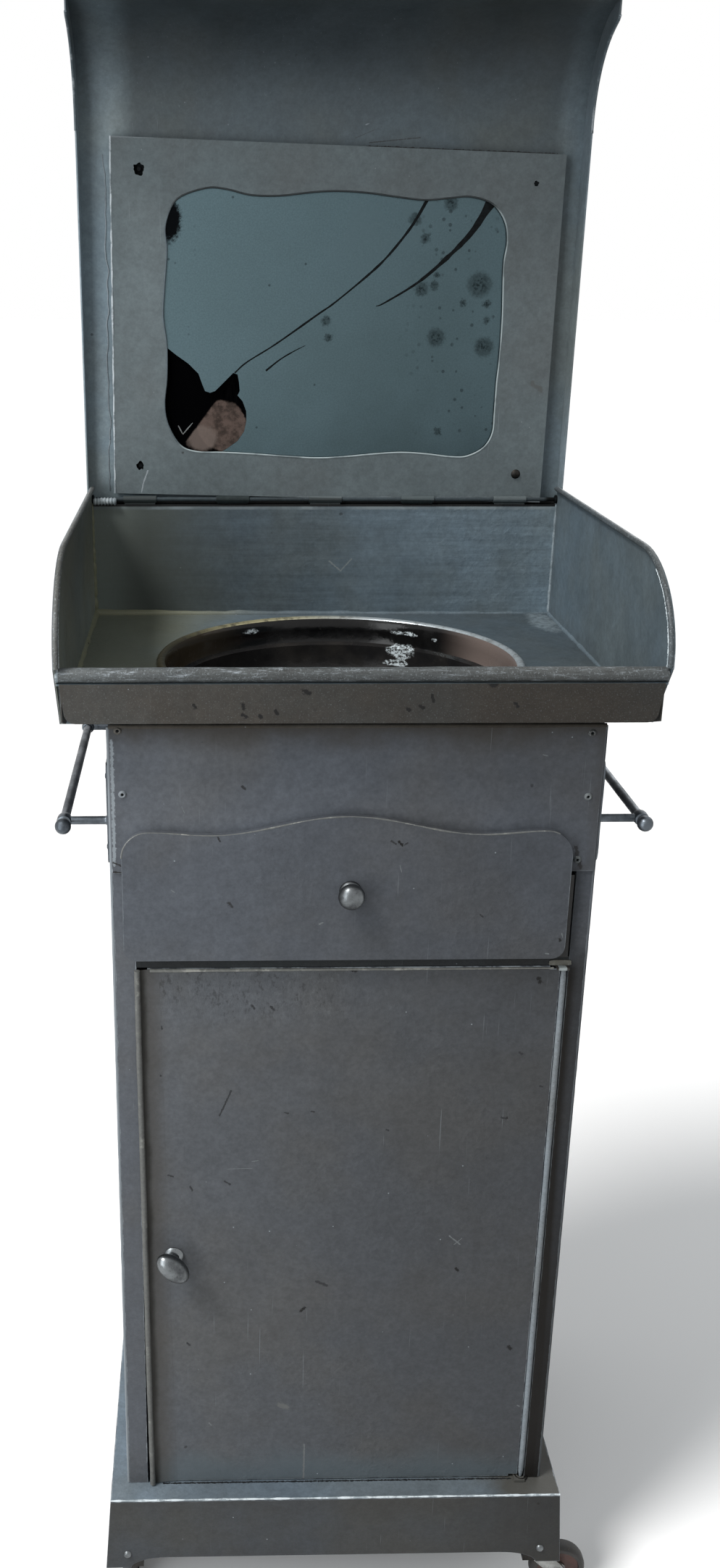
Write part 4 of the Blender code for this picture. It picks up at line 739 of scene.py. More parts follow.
def cheek_lines(steps):
    """Outer and inner edges of a lid cheek, as the CAD has them."""
    foot = LID_LOW.z + SHEET + 0.0003
    outer = [(LID_Y - 0.0003, foot)]
    inner = [(LID_Y - 0.017, foot)]
    for step in range(steps + 1):
        angle = math.pi / 2 * step / steps
        back, up = math.cos(angle), math.sin(angle)
        point = Vector((LID_Y - LID_ROLL_DROP * (1 - back), LID_FLAT_TOP + LID_ROLL_RUN * up))
        inward = Vector((-LID_ROLL_RUN * back, -LID_ROLL_DROP * up)).normalized()
        width = 0.011 + 0.016 * math.sqrt(1 - step / steps)
        outer.append(point + inward * 0.0003)
        inner.append(point + inward * width)
    return [Vector(p) for p in outer], [Vector(p) for p in inner]


def lid_cheek(name, material):
    """Cheek strip down one side of the lid, with a thin hem along its free edge."""
    node = "lid_cheek_" + name
    low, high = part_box(node)
    outer, inner = cheek_lines(40)
    shape = bmesh.new()
    rows = []
    for x in (low.x, high.x):
        rows.append([[shape.verts.new((x, p.x, p.y)) for p in line] for line in (outer, inner)])
    for near, far in rows:
        quads_into(shape, near, far)
    for first, second in zip(*rows):
        quads_into(shape, first, second)
    for index in (0, len(outer) - 1):
        shape.faces.new((rows[0][0][index], rows[0][1][index], rows[1][1][index], rows[1][0][index]))
    middle = (low.x + high.x) / 2
    sweep_into(shape, [(middle, p.x, p.y) for p in inner[1:]], 0.0011, 10, 1)
    ride(link("lid_cheek_strip_" + name, shape, [material, edge_blue], CRISP), "lid", "grey_paint", node)


FRAME_CORNERS = [(-0.1930, 0.9430), (0.1992, 0.9346), (0.2012, 1.2312), (-0.1900, 1.2440)]
RIM_FOOT = 0.9378
FACE_DEPTH = 0.0024
OPENING_POINTS = [
    (-0.1437, 1.1737), (-0.1335, 1.1942), (-0.1085, 1.2033), (-0.0904, 1.2025), (-0.0692, 1.1979),
    (-0.0443, 1.1975), (-0.0156, 1.2005), (0.0062, 1.2014), (0.0313, 1.2001), (0.0564, 1.1970),
    (0.0816, 1.1945), (0.1035, 1.1963), (0.1210, 1.1973), (0.1396, 1.1918), (0.1512, 1.1784),
    (0.1548, 1.1613), (0.1529, 1.1410), (0.1544, 1.0986), (0.1540, 1.0627), (0.1528, 1.0414),
    (0.1524, 1.0153), (0.1516, 0.9973), (0.1444, 0.9844), (0.1296, 0.9766), (0.1150, 0.9759),
    (0.0916, 0.9785), (0.0690, 0.9798), (0.0458, 0.9785), (0.0154, 0.9758), (-0.0071, 0.9748),
    (-0.0302, 0.9758), (-0.0679, 0.9784), (-0.0943, 0.9797), (-0.1174, 0.9803), (-0.1325, 0.9861),
    (-0.1434, 1.0041), (-0.1465, 1.0226), (-0.1442, 1.0446), (-0.1438, 1.0726), (-0.1467, 1.0978),
    (-0.1454, 1.1202), (-0.1443, 1.1329), (-0.1427, 1.1537)]
SCREWS = {"low_left": (-0.1690, 0.9680, 0.0036), "low_right": (0.1750, 0.9605, 0.0020),
          "top_right": (0.1768, 1.2080, 0.0021), "top_left": (-0.1657, 1.2183, 0.0046)}


def opening_shadow_and_highlight(g, base):
    """Paint bead round the opening: painted shadow on top, painted highlight on the right and foot."""
    bright = g.larger(g.rise(g.x, 0.138, 0.150), g.rise(g.z, 0.990, 0.981))
    base = g.mix(g.times(bright, g.rise(g.noise(40.0, 3.0), 0.35, 0.5, 0.4, 1.0)), base,
                 tone(158, 170, 172))
    return g.mix(g.rise(g.z, 1.183, 1.194), base, tone(38, 44, 46))


def mirror_frame():
    """Painted board round the mirror: its face with the scalloped opening, and the rim behind it."""
    def holes(spread, unevenness):
        return [ragged_ring(x, z, spread * radius, unevenness, index)
                for index, (x, z, radius) in enumerate(SCREWS.values())]

    front = FRAME_FRONT
    strokes = [((-0.1625, front, 0.9633), (-0.1668, front, 0.9520), 0.0007, WORN),
               ((-0.1668, front, 0.9520), (-0.1685, front, 0.9440), 0.0006, WORN),
               ((0.1850, front, 1.0410), (0.1935, front, 1.0350), 0.0030, tone(84, 88, 88))]
    material = paint("paint_frame", tone(93, 103, 106), tone(91, 98, 100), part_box("mirror_frame"), (2,),
                     0.0010, 0.40, chips=0.45, rough=0.58, blister=0.2, strokes=strokes)
    opening = smooth_loop(OPENING_POINTS)
    shape = slab_into(bmesh.new(), [FRAME_CORNERS, opening] + holes(1.0, 0.45), front, front + FACE_DEPTH)
    face = rounded(link("mirror_frame_face", shape, material, CRISP), 0.0007, worn=edge_blue)
    ride(face, "lid", "painted_wood", "mirror_frame")
    low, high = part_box("mirror_backing")
    margin = 0.0005
    left, right = low.x - margin, high.x + margin
    foot, head = low.z - margin, high.z + margin
    pocket = [(left, foot), (right, foot), (right, head), (left, head)]
    rim = [(x, max(z, RIM_FOOT)) for x, z in FRAME_CORNERS]
    shape = slab_into(bmesh.new(), [rim, pocket] + holes(1.15, 0.3), front + FACE_DEPTH + 0.0001,
                      FRAME_BACK)
    ride(rounded(link("mirror_frame_rim", shape, material, CRISP), 0.0005, 2), "lid", "painted_wood")
    # Floors of the screw holes, near-black as painted shade.
    shape = bmesh.new()
    for hole in holes(1.1, 0.3):
        slab_into(shape, [hole], front + 0.0060, FRAME_BACK - 0.0002)
    ride(link("frame_hole_floors", shape, crack_material("hole_floor"), CRISP), "lid", "dark_metal")
    bead = paint("paint_opening", BLUE, BLUE_WARM, layers=[opening_shadow_and_highlight])
    loop = [(x, front + 0.0004, z) for x, z in opening]
    bar("mirror_opening_bead", loop + loop[:1], 0.0008, 10, bead, "lid", "painted_wood")
    lowest, highest = Vector(FRAME_CORNERS[0]), Vector(FRAME_CORNERS[3])
    line = []
    for share in along(0.0, 1.0, 120):
        place = lowest.lerp(highest, share)
        line.append((place.x + 0.0004 + 0.0004 * wobble(place.y * 130, 0.6, 0.1), front + 0.0003, place.y))
    # Pale line down the frame's left edge: part worn paint, part painted highlight.
    bar("frame_left_edge", line, wavering(0.0009, 0.0005, 21, 2.3, 0.8), 10, edge_white, "lid",
        "painted_wood")


def ribbon(name, points, widths, y, thickness, material):
    """Flat strip of the mirror, of changing width, along X and Z points on a plane of constant Y."""
    points = [Vector(point) for point in points]
    shape = bmesh.new()
    rows = []
    for index, (point, width) in enumerate(zip(points, widths)):
        run = direction(points, index).normalized()
        side = Vector((run.y, -run.x)) * width / 2
        row = []
        for place, depth in ((point - side, 0.0), (point + side, 0.0), (point + side, thickness),
                             (point - side, thickness)):
            row.append(shape.verts.new((place.x, y - depth, place.y)))
        rows.append(row)
    return ride(link(name, skin_into(shape, rows), material, 0), "lid", "mirror")


def spline(points, steps=6):
    """Open curve through points of any size."""
    points = [Vector(point) for point in points]
    padded = [points[0] * 2 - points[1]] + points + [points[-1] * 2 - points[-2]]
    made = []
    for index in range(1, len(padded) - 2):
        four = padded[index - 1:index + 3]
        made += [between(*four, step / steps) for step in range(steps)]
    return made + [points[-1]]


CRACK_LONG = [(0.0833, 1.1946), (0.0704, 1.1729), (0.0511, 1.1491), (0.0338, 1.1328), (0.0050, 1.1097),
              (-0.0095, 1.0999), (-0.0465, 1.0746), (-0.0722, 1.0590), (-0.0832, 1.0496)]
CRACK_WIDE = [(0.1382, 1.1919), (0.1232, 1.1683), (0.1027, 1.1474), (0.0781, 1.1269), (0.0493, 1.1098),
              (0.0417, 1.1068)]
CRACK_SHORT = [(-0.0200, 1.0735), (-0.0315, 1.0678), (-0.0430, 1.0610), (-0.0553, 1.0515)]


def crack_material(name):
    """Near-black of a crack, or painted shade in a hole."""
    g = Graph(name)
    base = g.mix(g.rise(g.noise(240.0, 3.0), 0.35, 0.7), tone(4, 6, 7), tone(17, 22, 24))
    return g.finish(Base_Color=base, Roughness=0.7, Specular_IOR_Level=0.1)


def mirror_cracks():
    """Cracks in the glass: a long one, a wide one that fades, and a short one."""
    material = crack_material("crack_dark")
    cracks = {"long": (CRACK_LONG, 0.0027, 0.0012), "wide": (CRACK_WIDE, 0.0080, 0.0005),
              "short": (CRACK_SHORT, 0.0003, 0.0016)}
    for name, (line, start, end) in cracks.items():
        points = spline(line)
        widths = []
        for index in range(len(points)):
            share = index / (len(points) - 1)
            uneven = 1 + 0.35 * wobble(index * 0.7, start * 900, 0.3)
            fall = share ** 0.55
            widths.append((start + (end - start) * fall) * uneven)
        ribbon("mirror_crack_" + name, points, widths, GLASS_FRONT - 0.00005, 0.0001, material)


GLASS_BREAK = [
    (-0.1452, 1.0725), (-0.1356, 1.0651), (-0.1247, 1.0576), (-0.1157, 1.0489), (-0.1125, 1.0401),
    (-0.1099, 1.0338), (-0.1054, 1.0323), (-0.1008, 1.0338), (-0.0949, 1.0395), (-0.0845, 1.0496),
    (-0.0806, 1.0483), (-0.0793, 1.0414), (-0.0786, 1.0338), (-0.0806, 1.0300), (-0.0760, 1.0249),
    (-0.0727, 1.0160), (-0.0726, 1.0071), (-0.0746, 0.9981), (-0.0805, 0.9897), (-0.0897, 0.9832),
    (-0.0963, 0.9793)]
GLINT_LINES = [[(-0.1343, 1.0032), (-0.1322, 0.9992), (-0.1302, 0.9955)],
             [(-0.1302, 0.9955), (-0.1258, 1.0006), (-0.1212, 1.0057)]]


def mirror_glass():
    """Silvered pane whose lower left corner is broken out, with two pale slivers there as painted glints.
    """
    low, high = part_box("mirror_glass")
    sound = [(high.x, low.z), (high.x, high.z), (low.x, high.z), (low.x, 1.0775)]
    outline = sound + GLASS_BREAK + [(-0.0990, low.z)]
    plate("mirror_pane", outline, GLASS_FRONT, high.y, mirror_material("mirror_aged"), "lid", "mirror",
          "mirror_glass")
    # Their pale colour is a painted glint.
    glint = wheel_material("glass_glint", tone(112, 116, 116), tone(66, 70, 71), 0.3)
    for index, line in enumerate(GLINT_LINES):
        ribbon(f"glass_glint_{index + 1}", line, [0.0006, 0.0011, 0.0005], GLASS_FRONT + 0.0020, 0.0004,
               glint)


def screw_head(name, x, z, radius, material, driven):
    """Screw in the mirror frame: a domed head, sunk where it was driven home."""
    shape = bmesh.new()
    if driven:
        profile = [(0, -0.0002), (radius, -0.0002), (radius * 0.96, 0.0002), (radius * 0.55, 0.0005),
                   (0.0016, 0.0007), (0.0016, 0.0105), (0, 0.0105)]
        profile = [(r, h + 0.0016) for r, h in profile]
    else:
        profile = [(0, -0.0018), (radius * 0.45, -0.0016), (radius * 0.82, -0.0010), (radius, -0.0002),
                   (0.0016, 0.0), (0.0016, 0.0105), (0, 0.0105)]
    spin_into(shape, profile, "Y", (x, FRAME_FRONT, z), 24)
    if not driven:
        half = radius * 0.75
        slot = [(x - half, z - 0.0006), (x + half, z + 0.0002), (x + half, z + 0.0008), (x - half, z)]
        slab_into(shape, [slot], FRAME_FRONT - 0.00185, FRAME_FRONT - 0.0012)
    return ride(link("frame_screw_head_" + name, shape, material), "lid", "dark_metal",
                "frame_screw_" + name)


def paint_ridge():
    """Ragged ridge of old paint on the lid beside the frame's left edge."""
    material = paint("paint_ridge", tone(150, 160, 166), tone(84, 91, 94), chips=0.8, speckle=0.5)
    points = []
    foot, head = 0.9440, 1.2300
    for z in along(foot, head, 149):
        x = -0.1985 + 0.0120 * (z - foot)
        sway = 0.0020 * wobble(z * 95, 0.2, 0.7) + 0.0024 * wobble(z * 22, 3.1, 0.4)
        points.append((x + sway, LID_Y - 0.0002, z))
    bar("paint_ridge_left", points, lambda share: 0.00055 + 0.0004 * abs(wobble(share * 60, 1.7, 0.1)), 8,
        material, "lid")


# Tray
WING_NOSE = (0.093, 0.070)


def wing_edge(name, side, x, radius, material):
    """Chipped wire rolled into the free edge of a wing, with a painted highlight inside its front curve."""
    reach, drop = WING_NOSE
    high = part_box("wing_" + name)[1]
    lift = radius - 0.0005
    top = high.z - lift
    nose = Vector((FRONT + 0.063, high.z - drop))
    curve = arc(nose, (reach - lift, drop - lift), 90, 180, 90)
    straight = BACK - 0.001 - curve[0][0]
    line = [(curve[0][0] + straight * (1 - step / 110), top) for step in range(110)] + curve

    def ragged(share):
        return radius * (1 + 0.13 * wobble(share * 170, side, 0.5) + 0.09 * wobble(share * 38, side, 1.7))

    bar("wing_wire_" + name, [(side * x, y, z) for y, z in line], ragged, 14, material)
    # Painted highlight inside the wire's front curve.
    rim = arc(nose, (reach - 0.0030, drop - 0.0030), 118, 180, 90)
    bar("wing_highlight_" + name, [(side * (x - 0.0013), y, z) for y, z in rim],
        lambda share: 0.0006 + 0.0005 * share + 0.0006 * wobble(share * 70, side, 3.1), 8, edge_white)


def fascia_ends(material):
    """Small returns that close the ends of the fascia towards the tray."""
    low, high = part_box("tray_fascia")
    lip_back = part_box("front_lip_roll")[1].y - 0.0008
    section = [(high.y, high.z - 0.0006), (high.y, low.z + 0.0006), (FRONT - 0.0015, low.z - 0.0078),
               (FRONT + 0.0040, low.z - 0.0075), (lip_back, high.z - 0.0009)]
    near, far = 0.2098, 0.2110
    for name, side in SIDES:
        plate("fascia_end_" + name, section, side * near, side * far, material, axis="X")


def lip_wear(g, base):
    """Rubbed dashes along the lip, bright and dark."""
    base = g.scaled(base, g.rise(g.math("ABSOLUTE", g.x), 0.02, 0.14, 0.84, 1.0))
    nicks = g.rise(g.noise(1.0, 4.0, 0.8, g.mapped((0, 0, 0), (330, 110, 110))), 0.60, 0.70)
    base = g.mix(g.times(nicks, g.rise(g.x, -0.10, 0.15, 0.55, 0.30)), base, tone(166, 174, 180))
    streak = g.noise(1.0, 6.0, 0.78, g.mapped((0, 0, 0), (60, 420, 420)))
    amount = g.rise(g.x, -0.15, 0.10, 0.85, 0.60)
    base = g.mix(g.times(g.rise(streak, 0.53, 0.70), amount), base, tone(158, 166, 172))
    return g.mix(g.times(g.rise(streak, 0.46, 0.33), amount), base, tone(38, 38, 37))


def lip_roll(material):
    """Rolled front lip of the tray, slightly dented."""
    low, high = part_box("front_lip_roll")
    radius = 0.0053
    y, z = low.y + radius, low.z + radius
    points = []
    for x in along(low.x, high.x, 96):
        points.append((x, y + ripple((x, 0.3, 0.2), 0.045, 0.0004),
                       z + ripple((x, 1.3, 0.9), 0.06, 0.0004)))
    bar("front_lip_wire", points, wavering(0.99 * radius, 0.03 * radius, 24, 0.4, 2.0), 24, material,
        "stand", "grey_paint", "front_lip_roll")
    end = [(low.x - 0.0004 + 0.0006 * step, y, z) for step in range(5)]
    bar("front_lip_end", end, lambda share: radius * (1.03 - 0.06 * share * share), 24, edge_white)


SEAM_SIZES = {"back": (0.0042, 0.0014), "left": (0.0034, 0.0022), "right": (0.0022, 0.0018),
              "corner_left": (0.0030, 0.0012), "corner_right": (0.0015, 0.0012)}


def seam_film(g, base):
    """Yellowed solder on the left of the tray."""
    return g.mix(g.cloudy(g.x, 0.08, 12.0, -0.03, -0.17, 0.85), base, tone(128, 128, 102))


def press_into_tray(shape, half):
    """Flatten the solder where it would come out through the wings, the backsplash or the floor."""
    deep = BACK - SHEET / 2
    low = TRAY_Z - SHEET / 2
    for vertex in shape.verts:
        x, y, z = vertex.co
        vertex.co = (max(-half, min(half, x)), min(deep, y), max(low, z))
    bmesh.ops.dissolve_degenerate(shape, dist=1e-6, edges=shape.edges)
    return shape


def solder_seams():
    """Solder run into the inside corners of the tray."""
    dull = paint("paint_seam", tone(86, 99, 107), tone(80, 91, 97), chips=0.7, speckle=0.15, blister=0.8,
                 layers=[seam_film])
    bright = paint("paint_seam_bright", tone(142, 154, 160), tone(96, 107, 113), chips=0.9, speckle=0.5,
                   blister=0.8)
    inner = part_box("wing_left")[1].x
    splash_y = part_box("backsplash")[0].y + 0.0026
    splash_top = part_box("backsplash")[1].z - 0.0066
    runs = {"back": ((inner + 0.001, splash_y, TRAY_Z), (-inner - 0.001, splash_y, TRAY_Z)),
            "left": ((inner, splash_y, TRAY_Z), (inner, FRONT + 0.005, TRAY_Z)),
            "right": ((-inner, splash_y, TRAY_Z), (-inner, FRONT + 0.005, TRAY_Z)),
            "corner_left": ((inner, splash_y, TRAY_Z), (inner, splash_y, splash_top)),
            "corner_right": ((-inner, splash_y, TRAY_Z), (-inner, splash_y, splash_top))}
    for name, (start, end) in runs.items():
        start, end = Vector(start), Vector(end)
        points = [start.lerp(end, share) for share in along(0.0, 1.0, 60)]
        seed = len(name) * 1.37
        first, last = SEAM_SIZES[name]

        def size(share):
            return (first + (last - first) * share) * (1 + 0.5 * wobble(share * 22, seed, 0.2))

        shape = press_into_tray(sweep_into(bmesh.new(), points, size, 10), SHEET / 2 - inner)
        ride(link("solder_" + name, shape, bright if name == "corner_right" else dull), "stand",
             "grey_paint")


def basin():
    """Dark enamel bowl with a rolled metal rim."""
    low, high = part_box("basin")
    centre = (0, (low.y + high.y) / 2, 0)
    seat = TRAY_Z + 0.0003
    bowl, foot, wall, roll = 0.1405, 0.045, 0.0016, 0.0038
    rim_radius = high.x - roll
    outside = arc((foot, seat), (bowl - foot + wall, seat - low.z), -90, 0, 24)
    rim = arc((rim_radius, seat + roll), (roll, roll), -90, 150, 16)
    neck = [(0.1414, seat + 0.0020), (0.1406, seat - 0.0040), (0.1400, seat - 0.0120),
            (0.1390, seat - 0.0146), (0.1362, seat - 0.0158)]
    inside = arc((foot, seat - 0.0165), (0.1345 - foot, seat - 0.0165 - low.z - wall), 0, -90, 24)
    profile = [(0, low.z)] + outside + rim + neck + inside + [(0, low.z + wall)]

    def finish(point):
        radius = math.hypot(point.x, point.y - centre[1])
        if radius > 0.1425:
            return 1
        return 2 if radius > 0.1388 and point.z > seat - 0.0135 else 0

    shape = spin_into(bmesh.new(), profile, "Z", centre, 120, finish)
    finishes = [enamel("enamel_dark"), rim_material("rim_worn"), enamel("enamel_neck", True)]
    ride(link("basin_bowl", shape, finishes), "basin", "enamel", "basin")


# Front of the body
def drawer_outline(steps):
    """Drawer front: round corners, and a top edge that swells in the middle and at both ends."""
    low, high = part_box("drawer_front")
    middle = (low.x + high.x) / 2
    half = (high.x - low.x) / 2
    top, ear, hump = 0.7472, 0.0025, 0.101
    small, large = 0.010, 0.020
    shoulder = half - large
    foot = low.z + 0.0026
    outline = arc((-half + small, foot + small), (small, small), 180, 270, 12)
    outline += arc((half - small, foot + small), (small, small), 270, 360, 12)
    outline += arc((shoulder, top + ear - large), (large, large), 0, 90, 16)
    for step in range(1, steps):
        x = shoulder - 2 * shoulder * step / steps
        if abs(x) < hump:
            swell = 0.0145 * (1 + math.cos(math.pi * x / hump)) / 2
        else:
            swell = ear * (1 - math.cos(math.pi * (abs(x) - hump) / (shoulder - hump))) / 2
        outline.append((x, top + swell))
    outline += arc((-shoulder, top + ear - large), (large, large), 90, 180, 16)
    return [(x + middle, z) for x, z in outline]


DRAWER_MARKS = [
    (0.0260, 0.7427, 0.0295, 0.7406, 0.0008, DARK), (0.0318, 0.7421, 0.0344, 0.7395, 0.0010, BLACK),
    (0.0358, 0.7395, 0.0382, 0.7411, 0.0006, DARK), (-0.1013, 0.7465, -0.0998, 0.7429, 0.0007, DARK),
    (-0.0254, 0.6759, -0.0229, 0.6770, 0.0009, PALE), (-0.0930, 0.6931, -0.0911, 0.6910, 0.0013, DARK),
    (0.0333, 0.7232, 0.0348, 0.7179, 0.0005, PALE), (-0.1360, 0.7044, -0.1336, 0.7025, 0.0006, PALE),
    (0.0956, 0.6827, 0.0972, 0.6811, 0.0007, DARK), (0.1566, 0.6622, 0.1572, 0.6612, 0.0011, BLACK),
    (0.1580, 0.6668, 0.1588, 0.6634, 0.0006, PALE), (0.1468, 0.6502, 0.1490, 0.6500, 0.0008, PALE)]


def drawer_front():
    """Shaped front of the drawer, and a pale rim on its upper edge, part wear, part painted highlight."""
    low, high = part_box("drawer_front")
    material = paint("paint_drawer", box=(low, high), axes=(0,), wear=0.0006, wear_amount=0.3, chips=0.7,
                     blister=0.7, gloss=0.2, layers=[painted_falloff(1.04, 0.74)],
                     strokes=marks_on(low.y, DRAWER_MARKS))
    outline = drawer_outline(96)
    front = plate("drawer_front_plate", outline, low.y, high.y, material, "drawer", "painted_wood",
                  "drawer_front")
    rounded(front, 0.0012, 4, worn=edge_faint)
    line = [(x, low.y + 0.0005, z + 0.0001) for x, z in outline[37:]]
    worn = worn_edge("edge_drawer", tone(92, 94, 93), 0.40, tone(146, 147, 142))
    bar("drawer_top_edge", line, wavering(0.0006, 0.0004, 17, 0.9, 2.2), 8, worn, "drawer", "painted_wood")


def drawer_knob():
    """Turned knob: collar, neck and a rounded head."""
    low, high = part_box("drawer_knob")
    centre = ((low.x + high.x) / 2, high.y, (low.z + high.z) / 2)
    head = (high.x - low.x) / 2
    length = high.y - low.y
    profile = [(0, 0), (0.0084, 0), (0.0086, -0.0012), (0.0078, -0.0026), (0.0060, -0.0036),
               (0.0051, -0.0050), (0.0052, -0.0066)]
    ball = arc((0, -length + 0.0076), (head, 0.0076), 40, -90, 18)
    profile += ball[:-1] + [(0, -length)]
    shape = spin_into(bmesh.new(), profile, "Y", centre, 48)
    ride(link("drawer_knob_turned", shape, knob_metal), "drawer", "bare_metal", "drawer_knob")


KNOB_PLACE = (-0.1385, 0.3719)


def door_knob():
    """Egg-shaped turn knob on a neck with a collar."""
    x, z = KNOB_PLACE
    shape = bmesh.new()
    neck = [(0, 0.0105), (0.0025, 0.0105), (0.0025, -0.0003), (0.0080, -0.0003), (0.0082, -0.0012),
            (0.0070, -0.0026), (0.0050, -0.0036), (0.0043, -0.0060), (0.0046, -0.0110), (0.0060, -0.0150),
            (0, -0.0150)]
    spin_into(shape, neck, "Y", (x, DOOR_FACE, z), 40)
    made = bmesh.ops.create_uvsphere(shape, u_segments=48, v_segments=28, radius=1.0)
    matrix = (Matrix.Translation((x, DOOR_FACE - 0.0168, z)) @ Matrix.Rotation(math.radians(45), 4, "Y")
              @ Matrix.Diagonal((0.0160, 0.0085, 0.0098, 1)))
    bmesh.ops.transform(shape, matrix=matrix, verts=made["verts"])
    ride(link("door_knob_egg", shape, knob_metal), "latch", "bare_metal", "door_knob")


DOOR_BEAD = [(-0.1631, 0.6345), (-0.1627, 0.5467), (-0.1614, 0.3982), (-0.1605, 0.2514), (-0.1592, 0.1343)]
BEAD_Y = -0.1672


def door_bead_shadow(g, base):
    """Painted shadow of the rolled edge on the door, brown, darkest right beside it."""
    (top_x, top_z), (foot_x, foot_z) = DOOR_BEAD[0], DOOR_BEAD[-1]
    distance = g.from_line((top_x, BEAD_Y, top_z), (foot_x, BEAD_Y, foot_z))
    distance = g.plus(distance, g.sway(0.006, 40.0, 4.0))
    base = g.mix(g.rise(distance, 0.026, 0.007, 0.0, 0.55), base, tone(70, 66, 60))
    return g.mix(g.rise(distance, 0.0085, 0.0030, 0.0, 0.95), base, tone(30, 29, 25))


def creases(g):
    """Noise of the wrinkled paint."""
    return g.noise(1.0, 4.0, 0.7, g.mapped((0, 0.1, 0), (240, 240, 150)))


def wrinkle_shading(g, base):
    """Wrinkled paint at the door's upper left, with painted shade in creases and highlight on ridges."""
    crease = creases(g)
    cloud = g.sway(0.10, 22.0, 4.0)
    high = g.rise(g.plus(g.z, cloud), 0.575, 0.610)
    left = g.rise(g.plus(g.x, cloud), 0.040, -0.020)
    worn = g.times(high, left)
    base = g.mix(g.times(worn, g.rise(crease, 0.47, 0.36), 0.55), base, tone(44, 45, 46))
    return g.mix(g.times(worn, g.rise(crease, 0.56, 0.70), 0.22), base, tone(118, 122, 124))


def wrinkles(g):
    """Height of the wrinkled paint at the upper left of the door."""
    worn = g.times(g.rise(g.z, 0.570, 0.610), g.rise(g.x, 0.050, -0.020))
    return g.times(worn, creases(g), 2.2)


def door_foot(g, base):
    """Bluish band along the foot of the door."""
    return g.mix(g.cloudy(g.z, 0.05, 16.0, 0.175, 0.140, 0.6), base, tone(84, 95, 101))


FOLD_SECTION = (
    (0.0, -0.1668), (0.3, -0.1656), (0.65, -0.1647), (1.0, -0.16435), (1.0, -0.1641), (0.65, -0.1641),
    (0.3, -0.1650), (0.0, -0.1658))


def door_edge(material):
    """Rolled free edge of the door, with the sheet that runs from it to the panel."""
    low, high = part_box("door_panel")
    line = spline([(x, BEAD_Y, z) for x, z in DOOR_BEAD], 16)
    shape = sweep_into(bmesh.new(), line, wavering(0.0023, 0.00023, 34, 0.3, 1.1), 18, 1)
    rows = []
    for place in line:
        edge = low.x + 0.0085 * (high.z - place.z) / (high.z - low.z) + 0.009
        wide = edge - place.x
        rows.append([shape.verts.new((place.x + share * wide, y, place.z)) for share, y in FOLD_SECTION])
    bead = worn_edge("edge_bead", tone(88, 89, 87), 0.25, tone(128, 129, 124))
    ride(link("door_rolled_edge", skin_into(shape, rows), [material, bead]), "door", "grey_paint")
    top = []
    for x in along(low.x + 0.0020, high.x - 0.0055, 100):
        top.append((x, DOOR_FACE - 0.0002 + ripple((x, 0.2, 0.4), 0.02, 0.0002), high.z - 0.0016))

    def thinning(share):
        return (1.0 - 0.45 * share) * (0.0014 + 0.0003 * wobble(share * 26, 1.2, 0.6))

    bar("door_top_edge", top, thinning, 12, edge_door, "door")


HINGE_TAB = [
    (0.1530, 0.6364), (0.1610, 0.6362), (0.1688, 0.6364), (0.1692, 0.6384), (0.1684, 0.6402),
    (0.1610, 0.6405), (0.1536, 0.6402), (0.1524, 0.6384)]


def door_rod():
    """Painted hinge rod of the door, with rounded ends, the tab over it and a cup under its foot."""
    low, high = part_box("door_hinge_pin")
    x, y = (low.x + high.x) / 2, (low.y + high.y) / 2
    radius = (high.x - low.x) / 2

    def size(share):
        ends = min(1.0, 0.45 + 30 * min(share, 1 - share))
        return radius * ends * (1.0 + 0.07 * wobble(share * 46, 0.8, 0.2))

    material = paint("paint_rod", tone(118, 126, 132), tone(104, 108, 110), chips=0.8, speckle=0.45,
                     rough=0.42)
    bar("door_hinge_rod", [(x, y, z) for z in along(low.z, high.z, 90)], size, 20, material, "door",
        "bare_metal", "door_hinge_pin")
    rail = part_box("drawer_rail")[0].y
    tab_paint = paint("paint_tab", tone(104, 103, 95), tone(84, 83, 76), chips=0.9, speckle=0.3)
    plate("door_hinge_tab", smooth_loop(HINGE_TAB, 4), rail - 0.0009, rail - 0.0001, tab_paint)
    cup_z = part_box("base_plate")[1].z + 0.0014
    cup = [(px, py, cup_z) for px, py in arc((x, y), (0.0049, 0.0052), 175, 365, 24)]
    bar("door_hinge_cup", cup, 0.0011, 10, dark_metal, "stand", "dark_metal")


def body_edges():
    """Folds of the body's front corners, the flange over the apron and the worn front edge of the ledge."""
    low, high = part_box("stile_left")
    for name, side in SIDES:
        line = [(side * 0.1803, FRONT + 0.0012, z) for z in along(low.z + 0.0010, high.z - 0.0010, 120)]
        bar("stile_fold_" + name, line, wavering(0.0014, 0.00021, 60, side, 0.9), 12,
            NODES["stile_" + name].data.materials[0])
    low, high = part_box("apron")
    line = [(x, low.y + 0.0008, high.z - 0.0002) for x in along(low.x, high.x, 60)]
    # Painted shade: the flange is dark brown, as under the fascia.
    shaded_flange = paint("paint_flange", tone(72, 69, 64), tone(62, 58, 52), chips=0.5, gloss=0.1,
                   layers=[painted_falloff(1.25, 0.8)])
    bar("apron_flange", line, wavering(0.0016, 0.0004, 30, 0.3, 0.6), 12, shaded_flange)
    low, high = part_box("base_plate")
    line = [(x, low.y + 0.0004, high.z - 0.0004) for x in along(low.x, high.x, 160)]
    bar("ledge_edge", line, wavering(0.0009, 0.0005, 60, 0.7, 1.6), 10, edge_white)


